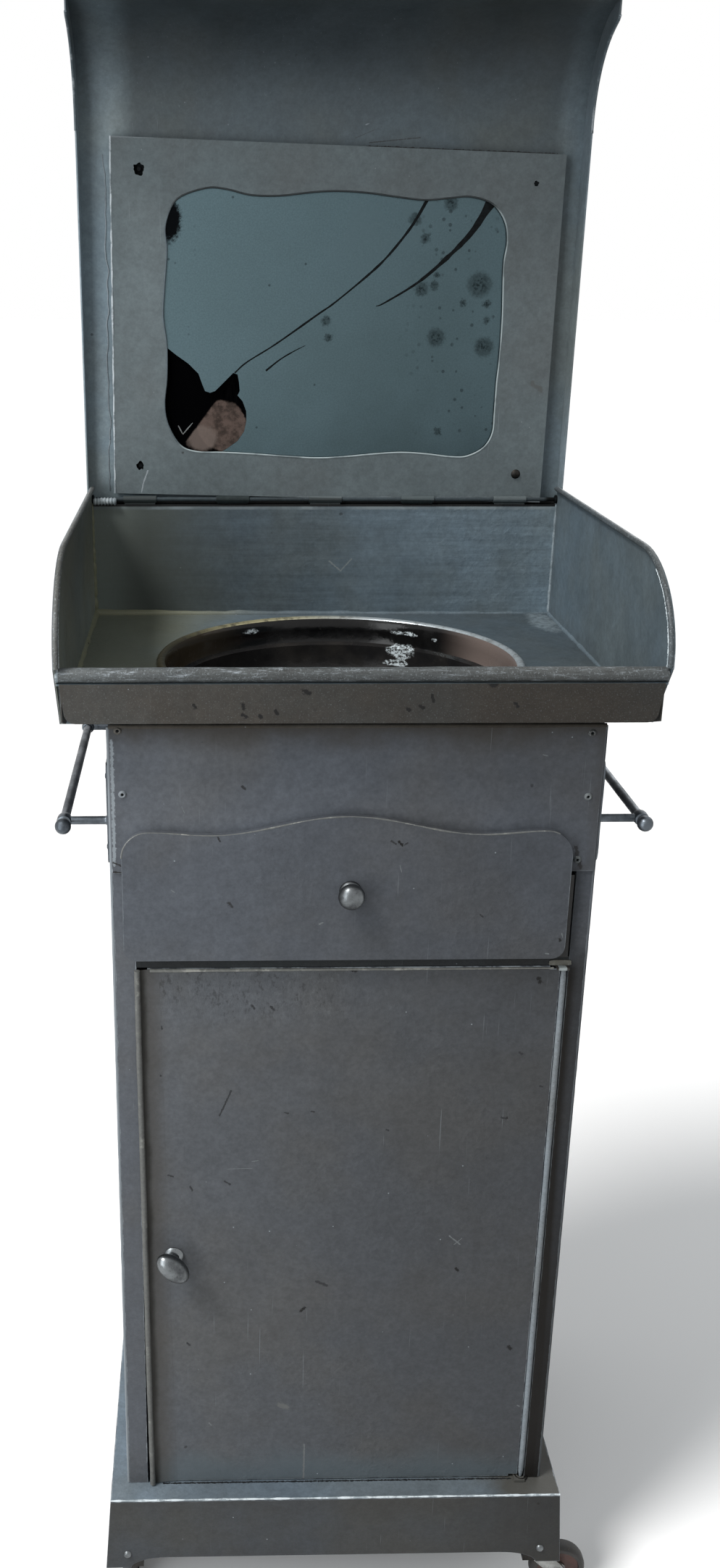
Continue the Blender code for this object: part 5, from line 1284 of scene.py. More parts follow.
def hinge_flashing():
    """Strip on the foot of the lid that closes the gap behind the backsplash, painted dark as shade."""
    back, half = BACK + 0.0002, 0.2160
    section = [(back, 0.9318), (0.1940, 0.9318), (0.1940, 0.9355), (0.1930, 0.9355), (0.1930, 0.9328),
               (back, 0.9328)]
    material = paint("paint_flashing", tone(30, 33, 34), tone(26, 26, 25), chips=0.3)
    plate("hinge_flashing", section, -half, half, material, "lid", "dark_paint", axis="X")


def dome(name, centre, radius, height, tail, material, body, slot, *nodes):
    """Domed head on a face that looks to the front."""
    profile = [(0, -height), (radius * 0.35, -height * 0.95), (radius * 0.68, -height * 0.72),
               (radius * 0.92, -height * 0.30), (radius, 0.0), (radius * 0.5, 0.0), (radius * 0.5, tail),
               (0, tail)]
    shape = spin_into(bmesh.new(), profile, "Y", centre, 24)
    ride(link(name, shape, material), body, slot, *nodes)


# The two upper rivets are painted darker, as shade under the fascia.
RIVETS = (
    (-0.1732, 0.8262, tone(82, 79, 74)), (-0.1708, 0.7774, tone(126, 132, 137)),
    (0.1698, 0.8233, tone(66, 67, 66)), (0.1708, 0.7742, tone(104, 109, 110)),
    (0.1668, 0.7241, tone(82, 87, 88)))
RIVET_PROFILE = [
    (0, -0.0003), (0.0010, -0.0003), (0.0012, -0.0011), (0.0018, -0.0014), (0.0026, -0.0009),
    (0.0030, 0.0), (0.0015, 0.0), (0.0015, 0.0012), (0, 0.0012)]
RIVET_HOLE = 0.0011


def fasteners():
    """Hollow rivets of the apron, and the bolts of the front feet."""
    # The hollow of each rivet is near-black, as painted shade.
    hollow_shade = crack_material("rivet_hollow")
    for index, (x, z, colour) in enumerate(RIVETS):
        name = f"apron_rivet_{index + 1}"
        centre = Vector((x, APRON_FACE, z))
        shape = spin_into(bmesh.new(), RIVET_PROFILE, "Y", centre, 24,
                          lambda point: int((point - centre).length < RIVET_HOLE))
        rivet = paint("paint_" + name, colour, colour, chips=0.4, speckle=0.4)
        ride(link(name, shape, [rivet, hollow_shade]), "stand", "grey_paint")
    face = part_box("plinth_skirt")[0].y
    for name, _ in SIDES:
        low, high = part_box("foot_bolt_" + name)
        centre = ((low.x + high.x) / 2, face, (low.z + high.z) / 2)
        dome("foot_bolt_head_" + name, centre, 0.0036, 0.0024, high.y - face, knob_metal, "stand",
             "bare_metal", "foot_bolt_" + name)


RAIL_BALL = 0.0060
RAIL_COLLAR = [
    (0.0037, -0.0050), (0.0050, -0.0044), (0.0056, -0.0020), (0.0056, 0.0020), (0.0050, 0.0044),
    (0.0037, 0.0050)]
RAIL_SCREW = [(0, 0.0038), (0.0015, 0.0037), (0.0026, 0.0030), (0.0030, 0.0024), (0.0030, 0.0020),
              (0, 0.0020)]
PLATE_HALF = 0.0085
PLATE_CORNER = 0.004


def towel_rails():
    """Bars with ball ends, and the arms with their plates."""
    for name, side in SIDES:
        low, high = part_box("towel_bar_" + name)
        centre = (low + high) / 2
        front, back = low.y - centre.y, high.y - centre.y
        profile = arc((0, front + RAIL_BALL), (RAIL_BALL, RAIL_BALL), -90, 54, 16)
        profile += arc((0, back - RAIL_BALL), (RAIL_BALL, RAIL_BALL), -54, 90, 16)
        profile[0] = (0, front)
        profile[-1] = (0, back)
        shape = spin_into(bmesh.new(), profile, "Y", centre, 32)
        ride(link("towel_rail_" + name, shape, rail_metal), "stand", "bare_metal", "towel_bar_" + name)
        for end in ("front", "back"):
            node = f"towel_arm_{end}_{name}"
            low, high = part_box(node)
            y = (low.y + high.y) / 2
            inner = min(abs(low.x), abs(high.x))
            near, far = y - PLATE_HALF, y + PLATE_HALF
            foot, head = low.z + PLATE_CORNER, high.z - PLATE_CORNER
            backplate = smooth_loop([(near, foot), (y, low.z), (far, foot), (far, centre.z), (far, head),
                                     (y, high.z), (near, head), (near, centre.z)], 6)
            shape = slab_into(bmesh.new(), [backplate], side * inner, side * (inner + 0.0026), "X")
            reaches = (inner + 0.001, inner + 0.010, abs(centre.x) - 0.003)
            arm = spline([(side * reach, y, centre.z) for reach in reaches], 8)
            sweep_into(shape, arm, lambda share: 0.0031 + 0.0022 * max(0.0, 1 - share * 5), 20)
            spin_into(shape, RAIL_COLLAR, "Y", (centre.x, y, centre.z), 28, ring=True)
            for z in (low.z + 0.011, high.z - 0.011):
                screw = [(radius, side * height) for radius, height in RAIL_SCREW]
                spin_into(shape, screw, "X", (side * inner, y, z), 18)
            ride(link(node + "_bracket", shape, rail_metal), "stand", "bare_metal", node)


CASTER_TURNS = {"front_left": 90, "front_right": 0, "back_left": 20, "back_right": -90}
CASTER_X = 0.18199
CASTER_Y = {"front": -0.1583, "back": 0.1552}
CASTER_TRAIL = 0.024
WHEEL_RADIUS = 0.025
CASTER_TOP = 0.0564
CASTER_CROWN = [(0, -0.0024), (0.0124, -0.0024), (0.0135, -0.0016), (0.0130, -0.0004), (0.0090, 0),
                (0.0040, 0), (0.0040, 0.0026), (0.0060, 0.0026), (0.0060, 0.0040), (0.0045, 0.0046),
                (0, 0.0046)]
FORK_EYE = 0.0068
FORK_GAP = 0.0081
FORK_SHEET = 0.0022
NUT_RADIUS = 0.0048
NUT_DEPTH = 0.0024
WHEEL_HALF = 0.0070


def caster(corner, tyre, disc):
    """Fork with its stem, axle and nuts, and the wheel between its cheeks."""
    end, name = corner.split("_")
    sign = 1 if name == "right" else -1
    turn = Matrix.Rotation(math.radians(CASTER_TURNS[corner]), 4, "Z")
    matrix = Matrix.Translation((sign * CASTER_X, CASTER_Y[end], 0)) @ turn
    crown = [(radius, CASTER_TOP + height) for radius, height in CASTER_CROWN]
    shape = spin_into(bmesh.new(), crown, "Z", (0, 0, 0), 32)
    eye = arc((CASTER_TRAIL, WHEEL_RADIUS), (FORK_EYE, FORK_EYE), 40, -140, 16)
    shoulders = [(-0.0088, 0.0548), (0.0, 0.0552), (0.0088, 0.0548), (0.0165, 0.0440), (0.0262, 0.0335)]
    outline = smooth_loop(shoulders + eye[3:-3:3] + [(0.0120, 0.0290), (0.0010, 0.0400)], 4)
    face = FORK_GAP + FORK_SHEET
    for inner in (FORK_GAP, -face):
        slab_into(shape, [outline], inner, inner + FORK_SHEET)
    axle = [(0, -0.0138), (0.0022, -0.0138), (0.0028, -0.0132), (0.0028, 0.0132), (0.0022, 0.0138),
            (0, 0.0138)]
    spin_into(shape, axle, "Y", (CASTER_TRAIL, 0, WHEEL_RADIUS), 20)
    nut = arc((CASTER_TRAIL, WHEEL_RADIUS), (NUT_RADIUS, NUT_RADIUS), 15, 375, 6)[:-1]
    for inner in (face, -face - NUT_DEPTH):
        slab_into(shape, [nut], inner, inner + NUT_DEPTH)
    bmesh.ops.transform(shape, matrix=matrix, verts=shape.verts)
    ride(link("caster_fork_shaped_" + corner, shape, bare, FORGED), "caster_" + corner, "bare_metal",
         "caster_fork_" + corner)
    half = WHEEL_HALF
    one_side = [(0.0034, half), (0.0062, half), (0.0070, half - 0.0010), (0.0070, 0.0036), (0.0090, 0.0030),
                (0.0170, 0.0030), (0.0188, 0.0040), (0.0192, half - 0.0006), (0.0204, half),
                (0.0226, half - 0.0002), (0.0242, half - 0.0018), (0.0250, half - 0.0042)]
    profile = one_side + [(radius, -height) for radius, height in reversed(one_side)]
    shape = bmesh.new()

    def part(point):
        radius = math.hypot(point.x - CASTER_TRAIL, point.z - WHEEL_RADIUS)
        return 0 if radius > 0.0189 else (1 if radius > 0.0072 else 2)

    spin_into(shape, profile, "Y", (CASTER_TRAIL, 0, WHEEL_RADIUS), 56, part, ring=True)
    bmesh.ops.transform(shape, matrix=matrix, verts=shape.verts)
    ride(link("caster_wheel_turned_" + corner, shape, [tyre, disc, bare], FORGED), "wheel_" + corner,
         "wheel", "caster_wheel_" + corner)


def hinge_thread():
    """Threaded collar on the left end of the lid's rod, and the black caps at both of its ends."""
    shape = bmesh.new()
    profile = []
    start, pitch, turns = -0.2125, 0.0030, 7
    for turn in range(turns):
        base = start + turn * pitch
        profile += [(0.0026, base), (0.0036, base + pitch * 0.5)]
    profile.append((0.0026, start + turns * pitch))
    profile = [(0, start)] + profile + [(0, start + turns * pitch)]
    spin_into(shape, profile, "X", (0, HINGE_Y - 0.0022, HINGE_Z - 0.0016), 20)
    ride(link("lid_rod_thread", shape, edge_white, THREADED), "stand", "bare_metal")
    cap = [(0, 0.2116), (0.0030, 0.2116), (0.0040, 0.2122), (0.0040, 0.2136), (0.0030, 0.2141), (0, 0.2141)]
    for name, side in SIDES:
        profile = [(radius, side * height) for radius, height in cap]
        shape = spin_into(bmesh.new(), profile, "X", (0, HINGE_Y, HINGE_Z), 20)
        ride(link("lid_rod_cap_" + name, shape, crack_material("cap_" + name)), "stand", "dark_metal")


def knuckle_shadow(g, base):
    """Painted shadow on the hinge knuckles above the backsplash, black then dark, above a light band."""
    patch = g.rise(g.noise(34.0, 4.0), 0.40, 0.60, 0.35, 0.9)
    base = g.mix(g.times(g.rise(g.z, 0.9280, 0.9298), patch), base, tone(126, 136, 140))
    base = g.mix(g.rise(g.z, 0.9312, 0.9319), base, tone(12, 14, 15))
    base = g.mix(g.rise(g.z, 0.9332, 0.9340), base, tone(44, 51, 52))
    return knuckle_top(g, base)


def knuckle_top(g, base):
    """Paint of the frame left on the knuckles, above a line that falls to the right."""
    level = g.math("MULTIPLY_ADD", g.x, 0.0214, g.z)
    return g.mix(g.rise(level, 0.9395, 0.9402), base, tone(78, 86, 88))


def rod_end(g, base):
    """Black on the right end of the lid's rod."""
    return g.mix(g.rise(g.x, 0.2000, 0.2060), base, tone(8, 9, 9))


def brushed(g, base):
    """Level brush strokes left in the paint."""
    wide = g.noise(1.0, 4.0, 0.65, g.mapped((0, 0.02, 0), (9, 9, 190)))
    thin = g.noise(1.0, 3.0, 0.60, g.mapped((0, -0.03, 0), (26, 26, 540)))
    return g.scaled(base, g.times(g.rise(wide, 0.30, 0.70, 0.91, 1.10),
                                  g.rise(thin, 0.30, 0.70, 0.95, 1.06)))


def splash_shade(g, base):
    """Backsplash inside: olive film at left, bluer right; painted shade to the left, lighter right and far
    left.
    """
    film = g.cloudy(g.x, 0.06, 12.0, -0.07, -0.17, 0.8)
    inside = g.rise(g.y, BACK - 0.0004, BACK - 0.0008)
    shaded = g.mix(film, base, tone(98, 104, 97))
    value = g.times(g.rise(g.x, -0.20, 0.20, 0.60, 1.36), g.rise(g.x, -0.160, -0.212, 1.0, 2.6),
                    g.rise(g.x, 0.170, 0.210, 1.0, 1.22))
    return g.mix(inside, base, g.scaled(shaded, value))


def wing_painted_light(g, base):
    """Left wing: plain outside; inside, painted light that grows towards its foot and both ends."""
    ends = g.times(g.rise(g.y, 0.0, 0.17, 1.0, 1.45), g.rise(g.y, -0.10, -0.17, 1.0, 1.3))
    shaded = g.scaled(base, g.times(g.rise(g.z, 0.935, 0.845, 1.0, 2.1), ends))
    outside = g.scaled(PAINT, g.rise(g.noise(19.0, 6.0, 0.62), 0.25, 0.75, 0.88, 1.12))
    return g.mix(g.rise(g.x, -0.2146, -0.2142), outside, shaded)


def wing_front_shade(g, base):
    """Painted shade: right wing darker towards its front."""
    return g.scaled(base, g.rise(g.y, -0.06, -0.17, 1.0, 0.80))


def tray_film_and_light(g, base):
    """Yellowish film on the left of the tray's upper face, painted lighter there against the wing's shade.
    """
    film = g.cloudy(g.x, 0.08, 12.0, -0.06, -0.17, 0.8)
    upper = g.rise(g.z, TRAY_Z - 0.0003, TRAY_Z - 0.0001)
    return g.mix(g.times(film, upper), base, tone(104, 106, 90))


def solder_patch(g, base):
    """Mottled smear of solder in the back right corner of the tray."""
    uneven = g.minus(g.noise(60.0, 5.0, 0.7), 0.5)
    distance = g.math("MULTIPLY_ADD", uneven, 0.022, g.from_point((0.2010, 0.1450, 0), (1.0, 0.34, 0)))
    flecks = g.rise(g.noise(170.0, 5.0, 0.75), 0.36, 0.62, 0.25, 0.9)
    return g.mix(g.times(g.rise(distance, 0.0150, 0.0090), flecks), base, tone(112, 124, 130))


def fascia_shadow(g, base):
    """Painted shadow, brown, on the apron below the fascia."""
    return g.mix(g.cloudy(g.z, 0.030, 26.0, 0.803, 0.831, 0.75), base, tone(56, 52, 46))


def stile_shadow(g, base):
    """Painted shadow down the right stile, dark brown, heavier towards its foot and beside the door's rod.
    """
    height = g.math("MULTIPLY_ADD", g.minus(g.noise(14.0, 4.0), 0.5), 0.08, g.z)
    amount = g.plus(g.rise(height, 0.668, 0.632, 0.06, 0.62), g.rise(height, 0.50, 0.22, 0.0, 0.30))
    beside_rod = g.times(g.rise(g.x, 0.1765, 0.1690, 0.0, 0.35), g.rise(g.z, 0.640, 0.632))
    return g.mix(g.math("MINIMUM", g.plus(amount, beside_rod), 0.95), base, tone(19, 16, 12))


def plinth_shade(g, base):
    """Front of the plinth, darker towards the right."""
    front = g.rise(g.y, -0.176, -0.182)
    shade = g.times(g.rise(g.x, -0.17, 0.10, 0.86, 0.78), g.rise(g.x, 0.06, 0.20, 1.0, 0.48))
    return g.mix(front, base, g.scaled(base, shade))


def box_front_shadow(g, base):
    """Painted shadow: black on the front end of the drawer's box, beside its front."""
    return g.mix(g.rise(g.y, -0.156, -0.160), base, tone(14, 14, 14))


ROD_X = 0.1622


def rod_head(g, base):
    """Bright wear on the bracket where the door's rod passes through it."""
    off_centre = g.math("ABSOLUTE", g.minus(g.x, ROD_X))
    return g.mix(g.rise(off_centre, 0.0036, 0.0026), base, tone(150, 158, 158))


def ledge_light_and_dirt(g, base):
    """Painted light on the left end of the ledge; brown on the right, part dirt and part painted shade."""
    base = g.scaled(base, g.rise(g.x, -0.11, -0.17, 1.0, 1.55))
    return g.mix(g.cloudy(g.x, 0.05, 30.0, 0.11, 0.16, 0.85), base, tone(62, 59, 52))


APRON_MARKS = [
    (-0.1780, 0.7220, -0.1777, 0.8180, 0.0012, tone(150, 158, 164)),
    (-0.0834, 0.7833, -0.0815, 0.7817, 0.0010, DARK), (-0.1277, 0.7676, -0.1258, 0.7629, 0.0005, PALE),
    (0.1652, 0.7340, 0.1662, 0.7279, 0.0016, DARK), (0.1679, 0.7247, 0.1695, 0.7178, 0.0016, DARK),
    (-0.1786, 0.7235, -0.1738, 0.7213, 0.0008, DARK), (-0.1800, 0.7160, -0.1728, 0.7150, 0.0008, BLACK),
    (0.1352, 0.8067, 0.1382, 0.8060, 0.0006, PALE)]
DOOR_MARKS = [
    (-0.1003, 0.5046, -0.0913, 0.5271, 0.0007, DARK), (-0.1419, 0.4496, -0.1382, 0.4482, 0.0008, DARK),
    (-0.1242, 0.4386, -0.1224, 0.4349, 0.0008, DARK), (-0.0964, 0.4433, -0.0921, 0.4404, 0.0008, DARK),
    (-0.0325, 0.3147, -0.0297, 0.3177, 0.0013, BLACK), (-0.0197, 0.3443, -0.0117, 0.3403, 0.0013, DARK),
    (0.1450, 0.2749, 0.1464, 0.2733, 0.0017, BLACK), (-0.1445, 0.2983, -0.1426, 0.2967, 0.0009, DARK),
    (-0.1280, 0.2831, -0.1261, 0.2807, 0.0008, DARK), (0.0958, 0.3557, 0.0972, 0.3541, 0.0012, BLACK),
    (-0.0744, 0.4618, -0.0695, 0.4625, 0.0006, PALE), (-0.0943, 0.4549, -0.0743, 0.4553, 0.0004, PALE),
    (0.0887, 0.3883, 0.0980, 0.3796, 0.0009, PALE), (0.0930, 0.3796, 0.0990, 0.3856, 0.0005, PALE),
    (-0.0492, 0.2165, -0.0433, 0.2139, 0.0026, tone(94, 96, 96)),
    (-0.1097, 0.1977, -0.1080, 0.1952, 0.0010, PALE),
    (-0.0271, 0.1729, -0.0271, 0.1355, 0.0007, tone(102, 105, 106)),
    (0.1567, 0.2122, 0.1581, 0.2114, 0.0009, PALE), (0.1455, 0.6243, 0.1469, 0.6210, 0.0016, BLACK),
    (-0.0001, 0.6345, 0.0041, 0.6319, 0.0015, BLACK), (-0.0752, 0.6023, -0.0734, 0.6003, 0.0010, DARK),
    (-0.0605, 0.6012, -0.0581, 0.5989, 0.0010, DARK), (-0.1460, 0.5854, -0.1449, 0.5830, 0.0008, DARK),
    (-0.0489, 0.5069, -0.0458, 0.5062, 0.0007, DARK), (-0.0277, 0.5081, -0.0252, 0.5073, 0.0007, DARK),
    (0.0331, 0.4902, 0.0346, 0.4895, 0.0008, DARK), (0.1355, 0.5593, 0.1370, 0.5582, 0.0009, DARK),
    (0.1533, 0.5292, 0.1555, 0.5285, 0.0009, DARK), (0.1248, 0.5005, 0.1282, 0.4998, 0.0008, DARK)]
FASCIA_MARKS = [
    (-0.1181, 0.8529, -0.1171, 0.8510, 0.0012, BLACK),
    (-0.0842, 0.8537, -0.0831, 0.8509, 0.0015, BLACK),
    (-0.0841, 0.8459, -0.0817, 0.8442, 0.0013, BLACK),
    (-0.0724, 0.8453, -0.0708, 0.8439, 0.0013, BLACK),
    (-0.0613, 0.8486, -0.0597, 0.8464, 0.0012, BLACK),
    (-0.0416, 0.8629, -0.0376, 0.8613, 0.0017, BLACK), (0.0306, 0.8500, 0.0325, 0.8489, 0.0012, BLACK),
    (0.0399, 0.8516, 0.0421, 0.8505, 0.0012, BLACK), (0.0481, 0.8594, 0.0491, 0.8549, 0.0010, BLACK),
    (0.0885, 0.8676, 0.0923, 0.8672, 0.0018, BLACK), (0.1069, 0.8536, 0.1084, 0.8514, 0.0012, BLACK)]


def repaint(node, material):
    """Give a CAD piece one finish."""
    NODES[node].data.materials.clear()
    NODES[node].data.materials.append(material)


def cad_paint():
    """Finishes of the CAD pieces whose shape stays."""
    def flat(node, axes, colour=PAINT, warm=PAINT_WARM, **look):
        repaint(node, paint("paint_" + node, colour, warm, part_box(node), axes, **look))

    flat("apron", (0, 2), wear=0.0008, wear_amount=0.35, grime=0.010, grime_amount=0.25, chips=0.6,
         gloss=0.2, layers=[painted_falloff(1.30, 0.97), fascia_shadow], strokes=marks_on(APRON_FACE, APRON_MARKS))
    flat("door_panel", (2,), DOOR_PAINT, DOOR_WARM, wear=0.0005, wear_amount=0.3, grime=0.004,
         grime_amount=0.2, chips=0.8, blister=0.8, gloss=0.2, relief=wrinkles,
         layers=[painted_falloff(1.12, 0.70), wrinkle_shading, door_foot, door_bead_shadow],
         strokes=marks_on(DOOR_FACE, DOOR_MARKS))
    flat("stile_left", (0,), wear=0.0009, wear_amount=0.5, chips=0.6)
    flat("stile_right", (0,), wear=0.0006, wear_amount=0.2, gloss=0.1, layers=[stile_shadow])
    for name, _ in SIDES:
        flat("side_panel_" + name, (1, 2), wear=0.0012, grime=0.012, grime_amount=0.3)
    flat("back_panel", (0, 2), wear=0.0012, grime=0.02, grime_amount=0.4)
    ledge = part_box("base_plate")[1].z
    # Painted shadow: a black line along the ledge below the door.
    shadow_below_door = ((-0.150, -0.1656, ledge), (0.155, -0.1656, ledge), 0.0012, tone(14, 16, 18))
    flat("base_plate", (0, 1), tone(84, 95, 104), tone(80, 88, 93), wear=0.0012, wear_amount=0.6,
         layers=[ledge_light_and_dirt], strokes=[shadow_below_door])
    flat("plinth_skirt", (2,), colour=tone(69, 73, 77), warm=tone(68, 69, 68), wear=0.0009, wear_amount=0.3,
         grime=0.03, grime_amount=0.2, chips=0.8, gloss=0.2, layers=[plinth_shade])
    flat("tray_fascia", (0,), colour=tone(60, 60, 58), warm=tone(61, 57, 52), wear=0.0010, wear_amount=0.3,
         chips=1.0, grime=0.006, grime_amount=0.3, speckle=0.15, gloss=0.2, layers=[painted_falloff(0.98, 0.60)],
         strokes=marks_on(FASCIA_FACE, FASCIA_MARKS))
    flat("tray_front_wall", (0,), TRAY, TRAY_WARM, wear=0.0010)
    flat("tray_floor", (0, 1), TRAY, TRAY_WARM, grime=0.02, grime_amount=0.08, blister=0.8,
         layers=[tray_film_and_light, painted_falloff(1.17, 0.56), solder_patch])
    inside = BACK - SHEET
    flat("backsplash", (0,), TRAY, TRAY_WARM, wear=0.0004, chips=0.3, blister=0.7,
         layers=[brushed, splash_shade, knuckle_shadow],
         strokes=[((0.0054, inside, 0.8807), (0.0158, inside, 0.8719), 0.0009, tone(116, 124, 126)),
                  ((0.0158, inside, 0.8719), (0.0257, inside, 0.8828), 0.0009, tone(116, 124, 126)),
                  ((-0.0060, inside, 0.8830), (0.0200, inside, 0.8835), 0.0004, tone(94, 104, 108))])
    flat("wing_left", (1, 2), tone(78, 83, 80), tone(78, 79, 70), wear=0.0010, wear_amount=0.4,
         layers=[wing_painted_light])
    flat("wing_right", (1, 2), TRAY, TRAY_WARM, wear=0.0010, wear_amount=0.5, grime=0.02, grime_amount=0.2,
         layers=[wing_front_shade])
    # Knuckles painted dark as shade under the frame; knuckle_top gives their tops the frame's colour.
    for name, _ in SIDES:
        flat("lid_knuckle_" + name, (), tone(44, 51, 52), tone(36, 41, 42), chips=0.4, gloss=0.1,
             layers=[knuckle_top])
    flat("lid_hinge_rod", (), tone(60, 68, 72), tone(52, 58, 61), chips=0.8, gloss=0.1, layers=[rod_end])
    # The rail is painted dark as shade below the drawer front.
    flat("drawer_rail", (), tone(44, 47, 49), tone(40, 41, 41), chips=0.4, gloss=0.1)
    flat("drawer_deck", (0,), tone(56, 57, 57), tone(52, 50, 46))
    flat("drawer_box", (), tone(70, 72, 74), tone(68, 65, 60), layers=[box_front_shadow])
    repaint("mirror_backing", backing_material("board_black"))
    repaint("door_hinge_bracket", paint("paint_bracket", tone(40, 38, 35), tone(34, 31, 28), chips=0.8,
                                        layers=[rod_head]))
    repaint("door_hinge_socket", NODES["base_plate"].data.materials[0])
    for node in ["door_latch"] + ["caster_bracket_" + corner for corner in CASTER_TURNS]:
        repaint(node, dark_metal)


def soften_cad():
    """Round the sharp sheet edges of the CAD pieces that stay."""
    edges = {"door_panel": (0.0007, edge_light), "apron": (0.0005, edge_faint),
             "stile_left": (0.0005, edge_light), "stile_right": (0.0004, None),
             "base_plate": (0.0005, edge_light), "plinth_skirt": (0.0004, edge_faint),
             "tray_fascia": (0.0004, None), "side_panel_left": (0.0004, edge_faint),
             "side_panel_right": (0.0004, edge_faint), "back_panel": (0.0004, edge_faint),
             "door_hinge_bracket": (0.0004, None), "door_hinge_socket": (0.0004, None),
             "drawer_box": (0.0003, None)}
    for node, (width, worn) in edges.items():
        weld = NODES[node].modifiers.new("weld", "WELD")
        weld.merge_threshold = 0.00001
        rounded(NODES[node], width, 2, worn=worn)


def build():
    """All the pieces, body by body."""
    cad_paint()
    soften_cad()
    cheek_paint = paint("paint_cheek", tone(88, 98, 104), BLUE_WARM, layers=[lid_light_and_shade], chips=0.5)
    lid_shell()
    for name, _ in SIDES:
        lid_cheek(name, cheek_paint)
    mirror_frame()
    mirror_glass()
    mirror_cracks()
    hole_dark = crack_material("hole_dark")
    # Driven screws show as holes painted near-black as shade; the other keeps a dark metal head.
    for name, (x, z, _) in SCREWS.items():
        driven = name != "low_right"
        screw_head(name, x, z, 0.0017 if driven else 0.0042, hole_dark if driven else dark_metal, driven)
    paint_ridge()
    wing_edge("left", -1, 0.2129, 0.0021,
              paint("paint_edge_left", tone(92, 94, 93), tone(66, 66, 62), chips=1.0, speckle=0.8))
    wing_edge("right", 1, 0.2127, 0.0020,
              paint("paint_edge_right", tone(66, 73, 77), tone(58, 62, 63), chips=1.0, speckle=0.6))
    fascia_ends(NODES["tray_fascia"].data.materials[0])
    lip_roll(paint("paint_lip", tone(74, 78, 79), tone(68, 70, 69), chips=1.0, speckle=0.45, rough=0.42,
                   layers=[painted_falloff(1.08, 0.88, 0.21), lip_wear]))
    solder_seams()
    basin()
    drawer_front()
    drawer_knob()
    door_knob()
    door_edge(paint("paint_door_fold", DOOR_PAINT, DOOR_WARM, chips=0.8, gloss=0.2,
                    layers=[painted_falloff(1.12, 0.70), door_foot, door_bead_shadow]))
    door_rod()
    body_edges()
    hinge_flashing()
    fasteners()
    towel_rails()
    tyre = wheel_material("wheel_tyre", tone(30, 29, 28), tone(44, 42, 40), 0.6)
    disc = wheel_material("wheel_disc", tone(84, 52, 44), tone(62, 42, 37), 0.55)
    for corner in CASTER_TURNS:
        caster(corner, tyre, disc)
    hinge_thread()


def camera():
    """Camera of the photograph."""
    pitch, yaw, roll = (math.radians(angle) for angle in (CAMERA_PITCH, CAMERA_YAW, CAMERA_ROLL))
    forward = Vector((math.sin(yaw) * math.cos(pitch), math.cos(yaw) * math.cos(pitch), -math.sin(pitch)))
    level = Vector((math.cos(yaw), -math.sin(yaw), 0))
    down = -level.cross(forward)
    right = math.cos(roll) * level + math.sin(roll) * down
    below = -math.sin(roll) * level + math.cos(roll) * down
    data = bpy.data.cameras.new("camera")
    longest = max(IMAGE_SIZE)
    data.sensor_width = SENSOR
    data.lens = FOCAL_PIXELS * SENSOR / longest
    data.shift_x = (IMAGE_SIZE[0] / 2 - PRINCIPAL_POINT[0]) / longest
    data.shift_y = (PRINCIPAL_POINT[1] - IMAGE_SIZE[1] / 2) / longest
    data.clip_start = 0.05
    item = bpy.data.objects.new("camera", data)
    turn = Matrix((right, -below, -forward)).transposed()
    item.matrix_world = Matrix.Translation(CAMERA_PLACE) @ turn.to_4x4()
    bpy.context.scene.collection.objects.link(item)
    bpy.context.scene.camera = item


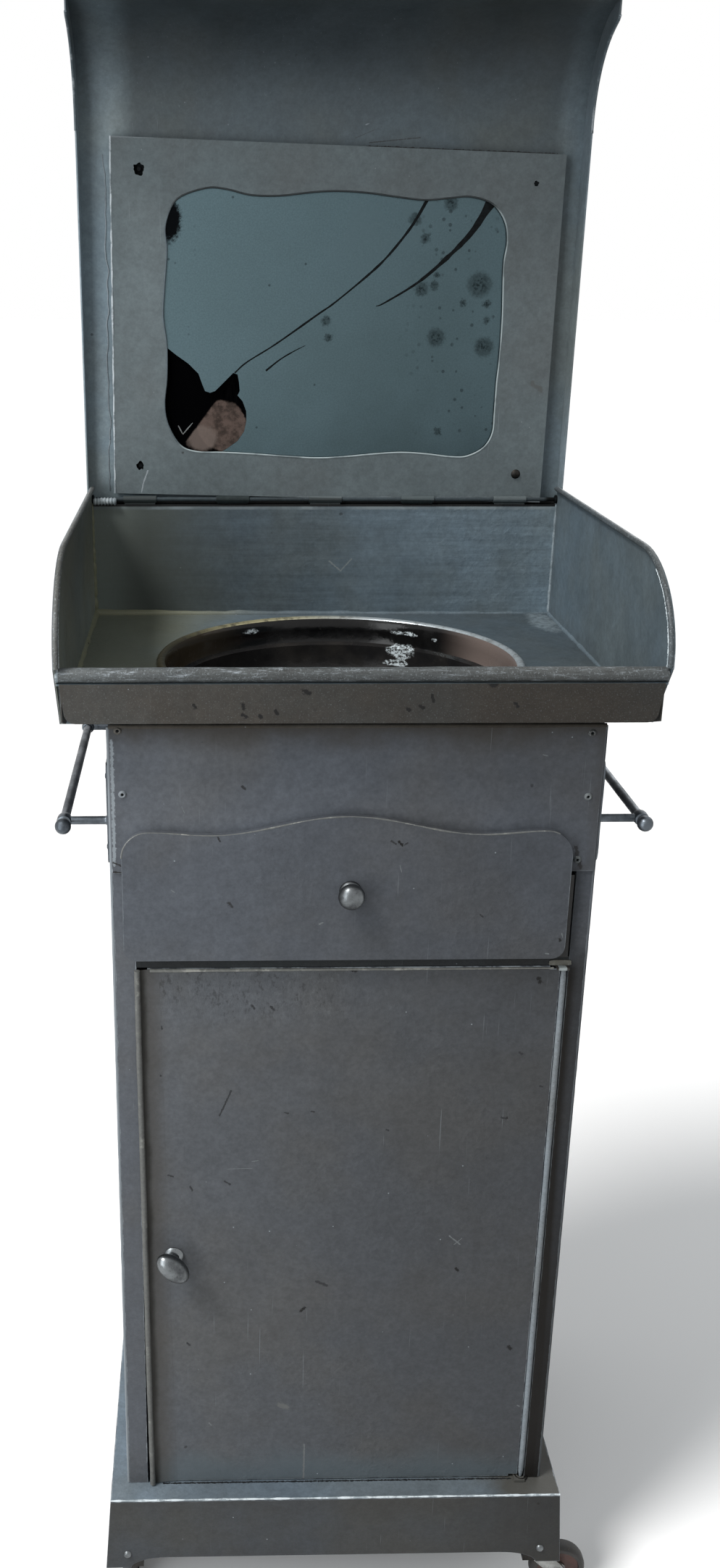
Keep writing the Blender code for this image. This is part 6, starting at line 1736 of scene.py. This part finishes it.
def studio():
    """Pale floor, a white surrounding, and soft light from the left front."""
    world = bpy.data.worlds.new("studio")
    bpy.context.scene.world = world
    world.use_nodes = True
    sky = ShaderTree(world.node_tree)
    way = sky.node("ShaderNodeTexCoord").outputs["Generated"]
    facing = sky.vector("DOT_PRODUCT", way, Vector((-0.55, -0.35, 0.76)).normalized())["Value"]
    level = sky.rise(facing, -1.0, 1.0, 0.10, 0.56, "LINEAR")
    fill = sky.node("ShaderNodeBackground", Color=(0.96, 0.985, 1.0, 1), Strength=level)
    pale = sky.node("ShaderNodeBackground", Color=(1, 1, 1, 1), Strength=1.0)
    sky.node("ShaderNodeOutputWorld", Surface=sky.shown(fill.outputs[0], pale.outputs[0]))

    floor_mesh = bpy.data.meshes.new("floor")
    reach = 30.0
    corners = [(-reach, -reach, 0), (reach, -reach, 0), (reach, reach, 0), (-reach, reach, 0)]
    floor_mesh.from_pydata(corners, [], [(0, 1, 2, 3)])
    floor = bpy.data.objects.new("floor", floor_mesh)
    bpy.context.scene.collection.objects.link(floor)
    material = bpy.data.materials.new("floor_pale")
    material.use_nodes = True
    ground = ShaderTree(material.node_tree)
    bounce = ground.node("ShaderNodeBsdfDiffuse", Color=(0.22, 0.22, 0.22, 1))
    matt = ground.node("ShaderNodeBsdfDiffuse", Color=(0.92, 0.92, 0.92, 1))
    glow = ground.node("ShaderNodeEmission", Strength=0.05)
    pale = ground.fill(ground.node("ShaderNodeAddShader"), matt.outputs[0], glow.outputs[0])
    ground.node("ShaderNodeOutputMaterial", Surface=ground.shown(bounce.outputs[0], pale[0]))
    floor_mesh.materials.append(material)

    def lamp(name, kind, place, target, energy, size, colour=(1, 1, 1)):
        data = bpy.data.lights.new(name, kind)
        data.energy = energy
        data.color = colour
        if kind == "SUN":
            data.angle = math.radians(size)
        else:
            data.shape = "RECTANGLE"
            data.size, data.size_y = size
        item = bpy.data.objects.new(name, data)
        item.location = place
        item.rotation_euler = (Vector(target) - Vector(place)).to_track_quat("-Z", "Y").to_euler()
        bpy.context.scene.collection.objects.link(item)

    lamp("key", "SUN", (-0.50, -0.28, 0.82), (0, 0, 0), 2.6, 16, (1.0, 0.98, 0.96))
    lamp("window", "AREA", (-0.78, -0.86, 0.98), (0, -0.1, 0.90), 9.5, (0.5, 1.5), (0.95, 0.98, 1.0))
    lamp("back_fill", "AREA", (1.4, 1.8, 1.6), (0, 0, 0.7), 9, (1.6, 1.6), (0.95, 0.98, 1.0))
    bpy.context.scene.view_settings.view_transform = "Standard"


camera()
build()
studio()
